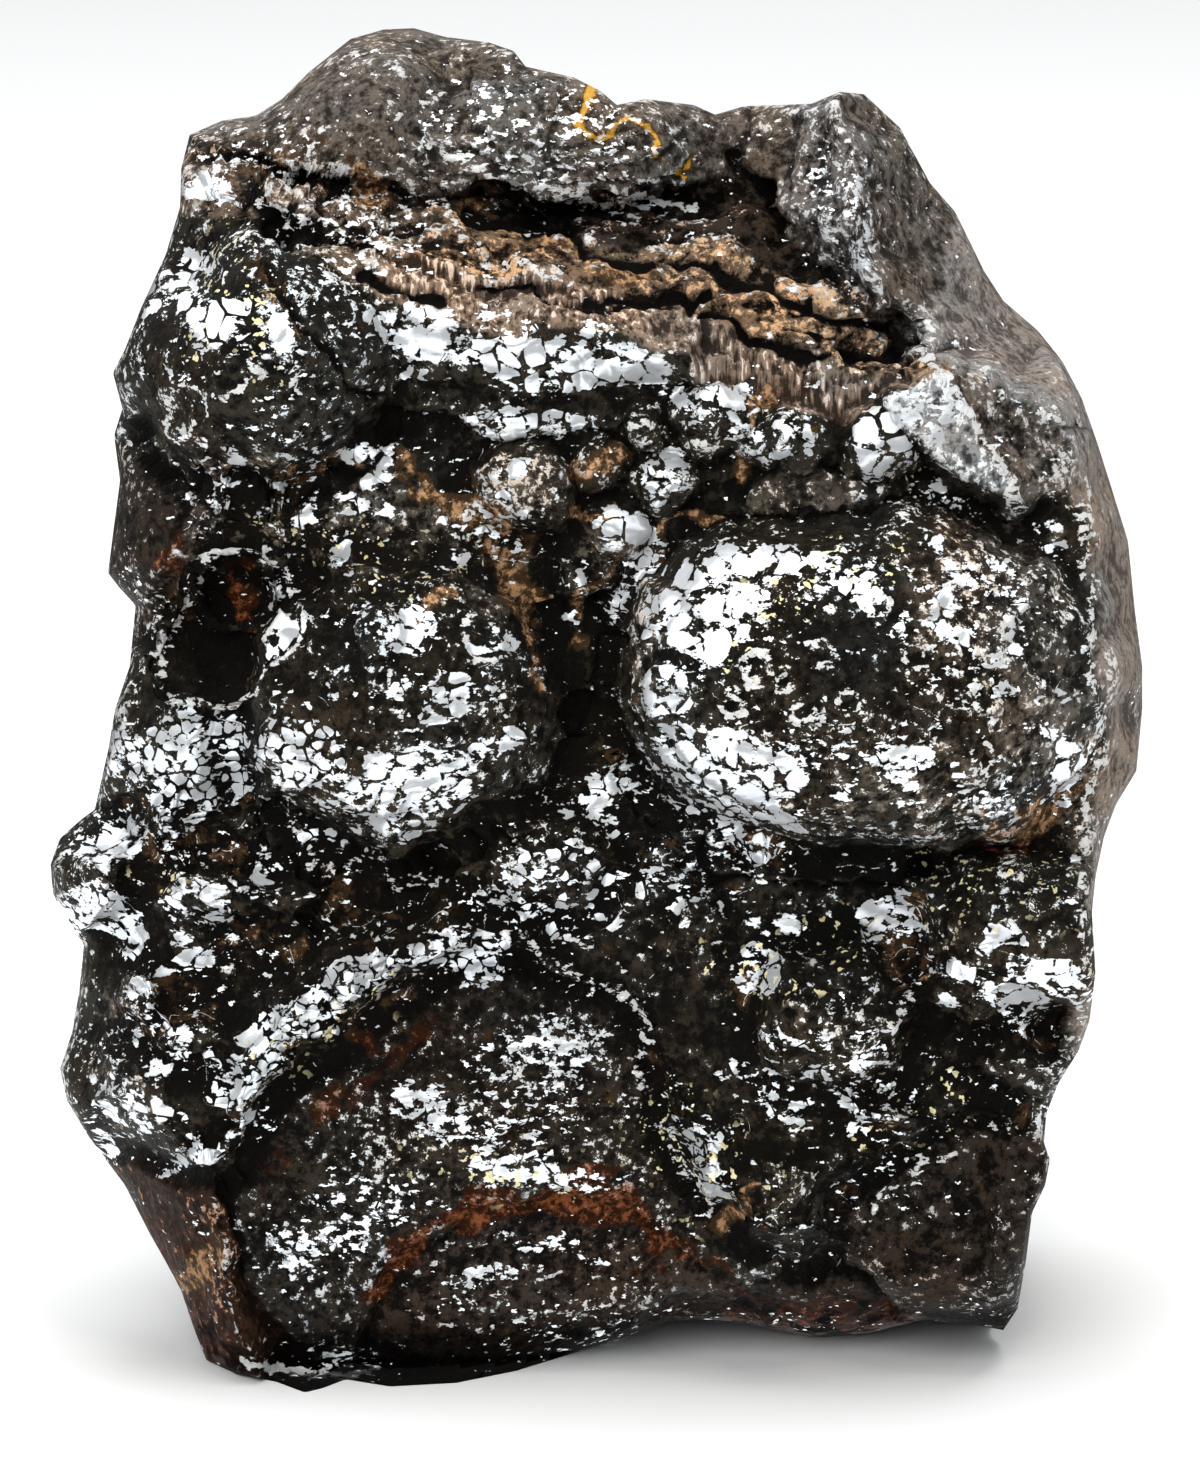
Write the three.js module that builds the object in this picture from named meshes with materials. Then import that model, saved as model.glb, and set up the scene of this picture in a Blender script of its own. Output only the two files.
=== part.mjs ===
// Botryoidal hematite hand specimen: one natural piece, standing on its broken foot.
// Millimetres, +Z up, the grape-like face towards -Y, +X to the right of that face.
//
// The face is described in its own frame: u to the right, v up the face and w out of it.
// Domes, ledges, broken facets and recesses are heights w over (u, v). Behind the face the
// block is closed by rings that run back from its outline to a rough broken back.

import * as THREE from 'three';

// ---- driving dimensions --------------------------------------------------------------------

const LEAN = THREE.MathUtils.degToRad(12); // the face leans back from the vertical
const FACE_MIDDLE = 54.8; // height on the face that the flare is measured from
const FLARE = 1 / 700; // the block widens by this for every millimetre behind the face
const FOOT_DEPTH = 8; // how far behind the face the front foot stands
const BLOCK_DEPTH = 60; // from the face's foot to the back
const BACK_SCALE = 0.84; // size of the back against the outline
const SIDE_TAPER = 0.035; // steady taper of the sides, before they turn into the back
const SIDE_HOLLOWS = 0.05; // how far the sides are hollowed, as a share of the half width
const SHRINK_CENTRE = new THREE.Vector2(0, 50); // point of the face that the sides taper towards

const COLUMNS = 46; // cells across the face, even
const ROWS = 58; // cells up the face, even
const FINE_RINGS = [0.05, 0.12]; // places of the rings with the face's own spacing, 0 front to 1 back
const COARSE_RINGS = [0.2, 0.3, 0.4, 0.5, 0.6, 0.7, 0.8, 0.88, 0.95, 1];

const VALLEY_LEVEL = -2.8; // w of the hollows between the domes
const DOME_ROUNDNESS = 0.6; // 0.5 is a half ball, 1 a low swell
const CRUST_WALL = 2; // steepness of the crust's broken sides
const CUT_WALL = 2; // steepness of the walls round a broken facet
const SOFTENING = 0.7; // the face is averaged over this far to each side

// Outline of the face, anticlockwise from the left foot; the four corners part its sides.
const BOTTOM_EDGE = [
  [-33.8, 5.2], [-32.8, 2.7], [-30.2, 1.5], [-27, 0.9], [-24.6, 0], [-23, 0.4], [-21.2, 1.1], [-17.5, 0.5],
  [-12, 0.8], [-7, 1.8], [-2.5, 3.2], [2.2, 4.7], [5.6, 6], [9.5, 6.1], [13, 5.6], [17.6, 4.7], [22.5, 5],
  [27, 6.1], [31, 5.7], [33.6, 5.2],
];
const RIGHT_EDGE = [
  [33.6, 5.2], [34.8, 7], [35.5, 11], [36, 15], [37.1, 17.3], [37.5, 19.4], [37, 20.8], [37.2, 23.3],
  [38.2, 25.8], [39.9, 28.5], [40.8, 31], [41.3, 35], [41, 40], [41.3, 43], [42, 46.3], [43, 49],
  [44.7, 51.8], [45.2, 57], [45.2, 60.5], [44.6, 65], [44, 71], [42.6, 75.5], [41.5, 79], [40.1, 83],
  [38.5, 86], [36.5, 88.5], [33.6, 91], [32, 93.5], [29.6, 98.4], [27.5, 100.8], [25, 105.4], [22, 108.2],
];
const TOP_EDGE = [
  [22, 108.2], [20, 108.4], [17.6, 107.4], [12, 107.2], [9.6, 106.5], [7.8, 107.3], [3.8, 107.8],
  [1.4, 107.3], [0, 108.5], [-2.2, 109.6], [-6.2, 110.5], [-7.2, 111.8], [-9.2, 112.5], [-13, 113],
  [-15.5, 113.7], [-18, 113.6], [-20.8, 112.8], [-24.3, 110], [-26.5, 107.8], [-28.7, 106.4],
  [-31.5, 106], [-34.2, 104.8],
];
const LEFT_EDGE = [
  [-34.2, 104.8], [-34.9, 102], [-35, 98.8], [-36.2, 94.8], [-38.2, 90.5], [-39.6, 86.9], [-40.6, 85],
  [-39.8, 82], [-40.5, 79.8], [-40, 76], [-40.6, 71.5], [-41, 68.3], [-40, 67], [-38.7, 65.6],
  [-39.2, 60.5], [-40.4, 57], [-41, 53.5], [-42.1, 48.6], [-43.2, 47.8], [-45, 46.2], [-45.8, 44],
  [-45.6, 41.6], [-44.4, 39.2], [-43, 37.4], [-43.4, 33.5], [-44, 30], [-45, 27], [-44.4, 24.3],
  [-42.6, 21.3], [-39.6, 17.3], [-37.6, 13.4], [-35, 8.8], [-33.8, 5.2],
];

// Domes: centre u, centre v, half width, half height, w of the foot, rise.
const DOMES = [
  [21, 59, 21.5, 15, -3, 15], // great right dome
  [-16.5, 56, 14.6, 12.8, -4, 11.5], // left centre dome
  [-28.5, 85.5, 12.6, 11.4, -5, 12.5], // upper left dome
  [-36.5, 53.5, 8, 6.2, -7.5, 6.5], // low dome at the left edge
  [-11, 13, 24.5, 24, -6, 8.5], // shell dome, broken open below
  [19, 31.3, 8.4, 7.8, -4, 7.5], // medium dome
  [34, 37.5, 9.6, 8.2, -4.5, 8], // lower right dome
  [35, 27, 5.2, 3.4, -4, 4.6],
  [23.5, 23.2, 3.8, 2.4, -3, 3.2],
  [-42, 43, 3.9, 4.6, -9, 6], // knob on the left edge
  [-36, 47, 2.1, 2, -4.5, 2.4],
  [-38.5, 33, 3, 2.8, -6, 3.6],
  [-6.8, 75, 5, 4.4, -3.5, 5], // the small domes between the great ones
  [0, 77.3, 2.6, 2.6, -3, 3],
  [4, 81, 2.3, 2.1, -2.6, 2.6],
  [9.5, 81.5, 3.5, 3.3, -3, 4],
  [5.5, 76, 2.9, 2.7, -3, 3.6],
  [16, 79.5, 4, 2.9, -3, 3.9],
  [23, 79.6, 3.8, 3.9, -3.5, 5.4],
  [-2.5, 67, 2.9, 2.6, -3, 2.8],
  [1.5, 72, 2.4, 2.2, -3, 2.4],
  [19, 75, 6.2, 2.8, -3, 3.8],
  [-1.5, 59.5, 1.9, 1.9, -3.5, 1.8],
  [-5.5, 43, 7.5, 4.2, -3.5, 4.3],
  [-27, 72, 2.6, 2.2, -1.5, 2.1],
  [-22, 69.5, 2.4, 2.1, -1.8, 2],
  [-32, 73, 2.6, 2.2, -2.4, 2.2],
  [-32, 42, 4.6, 3.4, -5, 3.6],
  [-25.5, 41, 4.4, 3, -4.6, 3],
  [-38, 24.5, 5.5, 5, -6.5, 5],
  [-33.5, 29.5, 4, 3.4, -4.6, 3.2],
  [8, 39, 4.2, 3.4, -3.6, 2.8],
  [9.5, 47, 5, 3, -3.6, 3.4],
  [8, 20, 4.6, 4.4, -3, 3],
  [16, 17.5, 4.2, 4, -3.2, 2.8],
  [14, 43, 4, 2.6, -4.4, 2.4],
  [26, 41.5, 3, 2.4, -4.6, 3.2],
];

// Bulges along the rim of the broken shell: u, v, radius.
const RIM_BULGES = [
  [-33, 19, 2.6], [-30.5, 23.5, 2.4], [-28.5, 27, 2.9], [-25, 30.2, 2.8], [-20.5, 33.2, 2.6],
  [-16, 35.4, 2.4], [-12, 36.6, 2.2], [-8, 36.6, 2],
];

// Open craters: u, v, radius, depth.
const CRATERS = [[-31, 66.5, 2.6, 4], [-33.3, 61.6, 3.9, 4.6]];

// Areas of the face, as closed outlines.
const PLATEAU = [[-40, 78], [-36, 67], [-30, 66], [-14, 66], [-10, 70], [-13, 78], [-22, 82]];
const SHELL_OPENING = [
  [-31.5, 16.5], [-28, 20], [-26, 23], [-22, 27], [-17, 30.3], [-14, 33], [-12, 34.3], [-8, 34.7],
  [-5, 34.3], [-2, 33.3], [0.6, 32.8], [2.4, 31], [3.4, 27], [4, 21.5], [5.5, 18.5], [8, 15], [11, 12],
  [16, 8.5], [18, -4], [-24, -4], [-29, 8], [-30, 13],
];
const INNER_SHELL = [
  [-21, 1], [-19.8, 5.5], [-18.3, 9], [-15.5, 12.3], [-12, 14.2], [-9, 15.8], [-5, 16.3], [-1.3, 16.7],
  [1.5, 15.8], [4.5, 13], [7.5, 11.5], [11, 9.2], [15, 7.4], [16, -4], [-20, -4],
];
const FOOT_FACET = [
  [-42, 19.5], [-36, 17.2], [-31.5, 16.3], [-30, 13], [-28.7, 8], [-24.4, 2.4], [-24, -4], [-44, -4],
];
const CORNER_FACET = [
  [20.6, 15], [22, 16], [24.5, 18.3], [27, 20.2], [30, 21.5], [33, 22.2], [38.5, 21.6], [39, 2],
  [27.5, 4], [26, 6.8], [20.5, 9.6],
];
const UNDERSIDE = [[11, 8.6], [15, 9.2], [20, 9.6], [25.5, 7], [34, 5.4], [38, 2], [10, 0]];
const SIDE_FACET = [
  [-43, 80.5], [-40, 79], [-37, 75.5], [-35.4, 70.5], [-36.2, 68.6], [-38.6, 66], [-43, 66],
];
const CHIP = [
  [24, 82.5], [26.5, 84.3], [28.6, 84.8], [30.2, 81], [32.2, 78], [35.2, 75], [30, 76.8], [26.2, 79.3],
];
const SHOULDER = [
  [28.6, 84.8], [31.2, 84.4], [35.2, 82.6], [37.4, 80.6], [38.8, 78], [38.6, 75.2], [35.2, 75],
  [32.2, 78], [30.2, 81],
];
const CRUST_AREA = [
  [60, 20], [39.9, 28], [39.9, 31], [40.7, 34.5], [40.7, 37], [39.9, 41], [40, 44], [40.3, 47], [41, 50],
  [41.7, 54.5], [41, 60], [41, 65], [40.3, 70], [39.5, 72.5], [38.6, 75.5], [38.6, 78.5], [37.4, 80.8],
  [35.2, 82.8], [31.2, 84.6], [28.6, 85], [26.4, 86], [24, 87.6], [23, 91], [20, 94], [17, 95.5],
  [14.2, 98.5], [14.2, 101], [10, 101.3], [6.5, 101], [5, 99.6], [-5, 99.8], [-8, 100.5], [-12, 100.2],
  [-16, 101], [-22, 102.5], [-29, 104], [-36, 105.5], [-60, 106], [-60, -20], [60, -20],
];

// Break lines of the ledges under the top rind, from left to right, and w at each line.
const BAND_FOOT = [
  [-60, 95], [-30, 95], [-22, 87], [-18, 85], [-12, 83.5], [-5, 83], [0, 83.4], [4, 84.2], [7, 84.6],
  [9, 84.2], [13, 82.6], [20, 81], [25, 83], [60, 83],
];
const FIBRE_FOOT = [
  [-60, 99], [-30, 97.8], [-24, 94.6], [-20, 92.2], [-16, 90.2], [-12, 88.8], [-8, 87.7], [-5, 88.4],
  [0, 88.3], [4, 87.2], [7.4, 87.2], [8.6, 84.4], [13, 83.2], [15, 81.9], [20, 81.2], [22, 82.6],
  [24, 83.8], [60, 84],
];
const FIBRE_TOP = [
  [-60, 101.5], [-30, 100], [-24, 97.6], [-16, 95], [-12, 93.6], [-5, 93], [0, 91.8], [4, 90.6], [8, 90],
  [12, 88.2], [17, 87], [19, 85.6], [25, 84.8], [60, 84.8],
];
const LEDGE_TOP = [
  [-60, 104], [-30, 102], [-22, 99.8], [-16, 98.8], [-10, 98], [-5, 97], [0, 95.3], [3, 95], [6, 95.8],
  [9, 96.3], [13, 94.4], [17, 93.3], [21, 91.5], [25, 88], [60, 88],
];
const RIND_LIP = [
  [-60, 107], [-30, 104], [-22, 102.4], [-16, 101], [-12, 100.2], [-8, 100.5], [-5, 99.8], [5, 99.6],
  [6.5, 101], [10, 101.3], [14.2, 101], [14.8, 98.4], [17, 95.6], [20, 94], [23, 91], [25, 89], [60, 89],
];
const FIBRE_FOOT_LEVEL = 1.4;
const FIBRE_TOP_LEVEL = -3.4;
const LEDGE_LEVEL = -8.5;
const RECESS_LEVEL = -12;
const RECESS_EXTRA = 5; // how much deeper the middle of the recess is
const RIND_LEVEL = -11;
const RIND_FALL = 15; // from the lip of the rind back to the outline

const SPUR_CREST = [[88, 26], [92, 23.5], [98, 21], [106, 20], [112, 20]]; // v, u of its crest
const SPUR_LEVEL = -5.5;

// Flat breaks on the back and sides: outward direction and a point on the break.
const BREAKS = [
  { out: [0, 0.75, 0.66], at: [0, 58, 97] },
  { out: [-0.5, 0.65, 0.57], at: [-20, 59.5, 96.5] },
  { out: [0.7, 0.7, 0.1], at: [32, 58, 40] },
  { out: [-0.72, 0.68, 0.12], at: [-30, 60, 40] },
  { out: [0.1, 0.72, -0.68], at: [0, 60, 12] },
  { out: [0.16, 0.98, 0.08], at: [0, 59.5, 50] },
  { out: [-0.2, 0.97, -0.1], at: [-10, 60, 45] },
  { out: [-0.8, 0.45, -0.4], at: [-38, 30, 20] },
];

// ---- small helpers ---------------------------------------------------------------------------

const { clamp, lerp, smoothstep } = THREE.MathUtils;

// Larger of two heights, with a rounded crease of width k between them.
function roundedMax(a, b, k) {
  const t = clamp(0.5 + (0.5 * (a - b)) / k, 0, 1);
  return lerp(b, a, t) + k * t * (1 - t);
}

function roundedMin(a, b, k) {
  return -roundedMax(-a, -b, k);
}

// Value at x on a line of [x, value] points.
function along(line, x) {
  const last = line.length - 1;
  if (x <= line[0][0]) return line[0][1];
  if (x >= line[last][0]) return line[last][1];
  const i = line.findIndex(([at]) => at > x) - 1;
  const t = (x - line[i][0]) / (line[i + 1][0] - line[i][0]);
  return lerp(line[i][1], line[i + 1][1], t);
}

// Distance from (u, v) to a closed outline, negative inside it.
function signedDistance(outline, u, v) {
  let nearest = Infinity;
  let inside = false;
  outline.forEach(([au, av], i) => {
    const [bu, bv] = outline[(i + 1) % outline.length];
    const du = bu - au;
    const dv = bv - av;
    const t = clamp(((u - au) * du + (v - av) * dv) / (du * du + dv * dv), 0, 1);
    nearest = Math.min(nearest, Math.hypot(u - au - t * du, v - av - t * dv));
    if (av > v !== bv > v && u < au + ((v - av) * du) / dv) inside = !inside;
  });
  return inside ? -nearest : nearest;
}

function outside(outline, u, v) {
  return Math.max(0, signedDistance(outline, u, v));
}

// Height of a round dome; beyond its foot it drops away steeply.
function dome(u, v, [cu, cv, halfWidth, halfHeight, foot, rise]) {
  const r = Math.hypot((u - cu) / halfWidth, (v - cv) / halfHeight);
  const drop = 1.2 * Math.min(halfWidth, halfHeight) * Math.max(0, r - 1);
  return foot + rise * Math.max(0, 1 - r * r) ** DOME_ROUNDNESS - drop;
}

// Small lumps that cover the whole crust.
function knobbly(u, v) {
  return 0.4 * Math.sin(1.25 * u + 0.6 * Math.sin(0.9 * v)) * Math.sin(1.3 * v + 0.7 * Math.sin(0.8 * u));
}

// ---- relief of the face ----------------------------------------------------------------------

const OUTLINE = [BOTTOM_EDGE, RIGHT_EDGE, TOP_EDGE, LEFT_EDGE].flatMap((edge) => edge.slice(0, -1));

// Ledges that step back from the crust to the recess under the top rind.
function ledges(u, v, fibreFoot, fibreTop) {
  const ledgeTop = along(LEDGE_TOP, u);
  const lip = along(RIND_LIP, u);
  const recessReach = 0.7 * Math.max(0.3, lip - ledgeTop);
  const recess = RECESS_LEVEL - RECESS_EXTRA * smoothstep(u, -16, -9) * (1 - smoothstep(u, 13, 22));
  const fibre = clamp((v - fibreFoot) / (fibreTop - fibreFoot), 0, 1);
  const ledge = clamp((v - fibreTop) / (ledgeTop - fibreTop), 0, 1);
  const hollow = clamp((v - ledgeTop) / recessReach, 0, 1);
  return FIBRE_FOOT_LEVEL + (FIBRE_TOP_LEVEL - FIBRE_FOOT_LEVEL) * fibre
    + (LEDGE_LEVEL - FIBRE_TOP_LEVEL) * ledge + (recess - LEDGE_LEVEL) * hollow
    + 3 * Math.max(0, fibreFoot - v);
}

function crust(u, v) {
  const plateau = 2.4 * (1 - smoothstep(signedDistance(PLATEAU, u, v), -2, 2.5));
  const swell = 1.2 * Math.exp(-(((u - 12) / 14) ** 2) - ((v - 22) / 14) ** 2);
  let w = VALLEY_LEVEL - 0.003 * Math.min(u, 0) ** 2 - 0.0012 * Math.max(u, 0) ** 2 + plateau + swell;

  for (const each of DOMES) w = roundedMax(w, dome(u, v, each), 0.7);
  for (const [cu, cv, radius] of RIM_BULGES) {
    const foot = 0.8 - 0.01 * (cu + 11) ** 2;
    w = roundedMax(w, dome(u, v, [cu, cv, radius, radius, foot, 2.2]), 0.5);
  }
  for (const [cu, cv, radius, depth] of CRATERS) {
    const r = Math.hypot(u - cu, v - cv) / radius;
    w += 0.9 * Math.exp(-(((r - 1.15) / 0.25) ** 2)) - depth * Math.max(0, 1 - r * r) ** 0.6;
  }
  w += knobbly(u, v);

  const bandFoot = along(BAND_FOOT, u);
  const fibreFoot = along(FIBRE_FOOT, u);
  const fibreTop = along(FIBRE_TOP, u);
  if (v > bandFoot - 3 && v < fibreFoot + 3) {
    const roll = 4.2 * smoothstep(u, -30, -17) * (1 - smoothstep(u, 6, 12));
    const across = clamp((v - bandFoot) / Math.max(0.5, fibreFoot - bandFoot), 0, 1);
    w = roundedMax(w, VALLEY_LEVEL + roll * Math.sin(Math.PI * Math.min(1, 0.12 + 0.75 * across)), 0.5);
  }
  if (v > fibreFoot - 4) w = roundedMin(w, ledges(u, v, fibreFoot, fibreTop), 0.4);
  if (v > fibreTop) w = roundedMax(w, dome(u, v, [17, 90.3, 8.5, 3.2, -9, 6]), 0.6);

  const shellFloor = -5.2 - 0.2 * Math.max(0, 34 - v)
    + 2.6 * Math.exp(-(((u + 12) / 15) ** 2) - ((v - 22) / 9) ** 2);
  w = roundedMin(w, shellFloor + CUT_WALL * outside(SHELL_OPENING, u, v), 0.4);
  const innerFloor = -9.2 - 0.22 * Math.max(0, 16 - v) - 0.006 * (u + 4) ** 2;
  w = roundedMin(w, innerFloor + CUT_WALL * outside(INNER_SHELL, u, v), 0.3);
  const footFacet = -4.5 + 0.95 * (u + 30) - 0.12 * (17 - v);
  w = roundedMin(w, footFacet + CUT_WALL * outside(FOOT_FACET, u, v), 0.4);
  const cornerFacet = -6 - 0.22 * (21 - v) + 1.8 * smoothstep(u, 31.5, 34);
  w = roundedMin(w, cornerFacet + CUT_WALL * outside(CORNER_FACET, u, v), 0.4);
  const underside = -12.5 + 0.3 * (v - 8);
  w = roundedMin(w, underside + CUT_WALL * outside(UNDERSIDE, u, v), 0.4);
  const sideFacet = -5 + 0.7 * (u + 36);
  w = roundedMin(w, sideFacet + CUT_WALL * outside(SIDE_FACET, u, v), 0.4);
  w = roundedMax(w, 1.6 - 0.12 * (u - 24) - CRUST_WALL * outside(CHIP, u, v), 0.3);
  const shoulder = 1 - 0.55 * (u - 30) + 0.12 * (78 - v);
  return roundedMax(w, shoulder - CRUST_WALL * outside(SHOULDER, u, v), 0.3);
}

// Smooth older rind behind the crust, seen along the top and down the right side.
function rind(u, v, inset) {
  const high = smoothstep(v, 78, 100);
  const reach = 5.5 + 7.5 * high;
  const level = -8 + (RIND_LEVEL + 8) * high;
  let w = level - RIND_FALL * Math.max(0, 1 - inset / reach) ** 1.5;
  w = roundedMax(w, dome(u, v, [-5, 103.5, 12.5, 6.5, -15, 6]), 0.6);
  w = roundedMax(w, dome(u, v, [-22, 104, 12, 9, -17, 7.5]), 0.8);
  if (v > 86) {
    const across = u - along(SPUR_CREST, v);
    const spur = SPUR_LEVEL - 0.55 * Math.max(0, v - 98) - (across < 0 ? -1.15 : 1.9) * across;
    w = roundedMax(w, spur, 0.4);
  }
  return u < 24 ? w - 4 * Math.max(0, along(RIND_LIP, u) - v) : w;
}

// Depth at which the line of sight through (u, v) on the face meets the floor.
function floorAt(v) {
  const below = (v - FACE_MIDDLE) * Math.cos(LEAN);
  return (FLOOR_LEVEL - FACE_MIDDLE * Math.cos(LEAN) - below) / (Math.sin(LEAN) - below * FLARE);
}

function face(u, v) {
  const inset = Math.max(0, -signedDistance(OUTLINE, u, v));
  const crustHere = crust(u, v) - CRUST_WALL * outside(CRUST_AREA, u, v);
  let w = roundedMax(rind(u, v, inset), crustHere, 0.3);

  const hole = Math.hypot((u - 25) / 1.9, (v - 89.2) / 2.1);
  w -= 7 * Math.max(0, 1 - hole * hole) ** 0.6;

  const leftness = 1 - smoothstep(u, -22, -8) * smoothstep(v, 4, 14);
  const lowness = 0.55 * (1 - smoothstep(v, 5, 12));
  const radius = 1.2 + 6.5 * Math.max(leftness, lowness);
  const turn = clamp(1 - inset / radius, 0, 1);
  w -= 1.25 * radius * (1 - Math.sqrt(Math.max(0, 1 - turn * turn)));
  return Math.max(w, floorAt(v));
}

// ---- the block -------------------------------------------------------------------------------

// Point of the part for a place on, or behind, the face.
function place(u, v, w) {
  const flare = 1 - w * FLARE;
  const up = FACE_MIDDLE + (v - FACE_MIDDLE) * flare;
  return new THREE.Vector3(
    u * flare,
    up * Math.sin(LEAN) - w * Math.cos(LEAN),
    up * Math.cos(LEAN) + w * Math.sin(LEAN),
  );
}

// The floor runs through the front foot.
const FLOOR_LEVEL = place(0, 0, -FOOT_DEPTH).z;

// Evenly spaced points along an edge, its last point left out.
function spaced(edge, count) {
  const lengths = edge.slice(1).map(([u, v], i) => Math.hypot(u - edge[i][0], v - edge[i][1]));
  const total = lengths.reduce((sum, length) => sum + length, 0);
  return Array.from({ length: count }, (_, n) => {
    let left = (total * n) / count;
    let i = 0;
    while (i < lengths.length - 1 && left > lengths[i]) left -= lengths[i++];
    const t = left / lengths[i];
    return new THREE.Vector3(lerp(edge[i][0], edge[i + 1][0], t), lerp(edge[i][1], edge[i + 1][1], t), 0);
  });
}

// Point of a four-sided patch stretched inside a ring of points, at column i and row j.
function patchPoint(ring, columns, rows, i, j) {
  const bottom = ring[i];
  const right = ring[columns + j];
  const top = ring[2 * columns + rows - i];
  const left = ring[(2 * columns + 2 * rows - j) % ring.length];
  const s = i / columns;
  const t = j / rows;
  return new THREE.Vector3()
    .addScaledVector(bottom, 1 - t).addScaledVector(top, t)
    .addScaledVector(left, 1 - s).addScaledVector(right, s)
    .addScaledVector(ring[0], -(1 - s) * (1 - t)).addScaledVector(ring[columns], -s * (1 - t))
    .addScaledVector(ring[columns + rows], -s * t).addScaledVector(ring[2 * columns + rows], -(1 - s) * t);
}

// Height of the face with creases too fine for the grid averaged out.
function softFace(u, v) {
  const around = [[0, 0], [1, 1], [-1, 1], [-1, -1], [1, -1]];
  const sum = around.reduce((total, [i, j]) => total + face(u + i * SOFTENING, v + j * SOFTENING), 0);
  return Math.max(sum / around.length, floorAt(v));
}

// Moves a point that lies beyond a flat break onto it.
function trimToBreaks(point) {
  for (const { out, at } of BREAKS) {
    const normal = new THREE.Vector3(...out).normalize();
    const beyond = normal.dot(point) - normal.dot(new THREE.Vector3(...at));
    if (beyond > 0) point.addScaledVector(normal, -beyond);
  }
}

// Point on the sides of the block, behind an outline point; back is 0 at the face and 1 at the back.
function sidePoint(edgePoint, back) {
  const { x: u, y: v, z: w } = edgePoint;
  const hollows = 0.5 + 0.5 * Math.sin(0.21 * u - 0.16 * v + 5 * back) * Math.sin(0.13 * u + 0.24 * v - 3 * back);
  const taper = SIDE_TAPER + SIDE_HOLLOWS * hollows;
  const shrink = 1 - taper * Math.min(1, 3 * back) - (1 - taper - BACK_SCALE) * back ** 4;
  const backW = (v * Math.sin(LEAN) - BLOCK_DEPTH) / Math.cos(LEAN);
  const point = place(
    lerp(SHRINK_CENTRE.x, u, shrink),
    lerp(SHRINK_CENTRE.y, v, shrink),
    lerp(w, Math.min(backW, w - 6), back),
  );
  trimToBreaks(point);
  point.z = Math.max(point.z, FLOOR_LEVEL);
  return point;
}

function buildBlock() {
  const points = [];
  const triangles = [];
  const add = (point) => points.push(point) - 1;
  const quad = (a, b, c, d) => triangles.push(a, b, c, a, c, d);

  const outline = [
    ...spaced(BOTTOM_EDGE, COLUMNS), ...spaced(RIGHT_EDGE, ROWS),
    ...spaced(TOP_EDGE, COLUMNS), ...spaced(LEFT_EDGE, ROWS),
  ];

  // The face.
  const grid = [];
  for (let j = 0; j <= ROWS; j++) {
    for (let i = 0; i <= COLUMNS; i++) {
      const { x: u, y: v } = patchPoint(outline, COLUMNS, ROWS, i, j);
      grid.push(add(place(u, v, softFace(u, v))));
    }
  }
  const cell = (i, j) => grid[j * (COLUMNS + 1) + i];
  for (let j = 0; j < ROWS; j++) {
    for (let i = 0; i < COLUMNS; i++) quad(cell(i, j), cell(i + 1, j), cell(i + 1, j + 1), cell(i, j + 1));
  }

  // The sides, first with the face's spacing and then with half of it.
  outline.forEach((point) => {
    point.z = softFace(point.x, point.y);
  });
  let ring = outline.map((_, n) => {
    if (n < COLUMNS) return cell(n, 0);
    if (n < COLUMNS + ROWS) return cell(COLUMNS, n - COLUMNS);
    if (n < 2 * COLUMNS + ROWS) return cell(2 * COLUMNS + ROWS - n, ROWS);
    return cell(0, 2 * COLUMNS + 2 * ROWS - n);
  });
  for (const back of FINE_RINGS) {
    const next = outline.map((point) => add(sidePoint(point, back)));
    ring.forEach((a, n) => {
      const m = (n + 1) % ring.length;
      quad(a, next[n], next[m], ring[m]);
    });
    ring = next;
  }
  const every = outline.filter((_, n) => n % 2 === 0);
  for (const back of COARSE_RINGS) {
    const next = every.map((point) => add(sidePoint(point, back)));
    const joins = ring.length === next.length ? 1 : 2;
    next.forEach((b, n) => {
      const m = (n + 1) % next.length;
      if (joins === 1) {
        quad(ring[n], b, next[m], ring[m]);
      } else {
        const middle = ring[2 * n + 1];
        triangles.push(ring[2 * n], b, middle, middle, b, next[m], middle, next[m], ring[2 * m]);
      }
    });
    ring = next;
  }

  // The back.
  const columns = COLUMNS / 2;
  const rows = ROWS / 2;
  const backRing = ring.map((n) => points[n]);
  const backGrid = [];
  for (let j = 0; j <= rows; j++) {
    for (let i = 0; i <= columns; i++) {
      const onRing = j === 0 ? i : i === columns ? columns + j : j === rows ? 2 * columns + rows - i : -1;
      if (onRing >= 0) backGrid.push(ring[onRing]);
      else if (i === 0) backGrid.push(ring[2 * columns + 2 * rows - j]);
      else {
        const point = patchPoint(backRing, columns, rows, i, j);
        point.y += 4 * Math.sin((Math.PI * i) / columns) * Math.sin((Math.PI * j) / rows);
        trimToBreaks(point);
        backGrid.push(add(point));
      }
    }
  }
  const backCell = (i, j) => backGrid[j * (columns + 1) + i];
  for (let j = 0; j < rows; j++) {
    for (let i = 0; i < columns; i++) {
      quad(backCell(i, j), backCell(i, j + 1), backCell(i + 1, j + 1), backCell(i + 1, j));
    }
  }

  const geometry = new THREE.BufferGeometry().setFromPoints(points);
  geometry.setIndex(triangles);
  geometry.computeBoundingBox();
  const middle = geometry.boundingBox.getCenter(new THREE.Vector3());
  geometry.translate(-middle.x, -middle.y, -FLOOR_LEVEL);
  geometry.computeVertexNormals();
  return geometry;
}

// ---- the part --------------------------------------------------------------------------------

const hematite = new THREE.MeshStandardMaterial({ color: 0x2b2825, roughness: 0.28, metalness: 0.7 });

const specimen = new THREE.Mesh(buildBlock(), hematite);
specimen.name = 'hematite_specimen';

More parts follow.
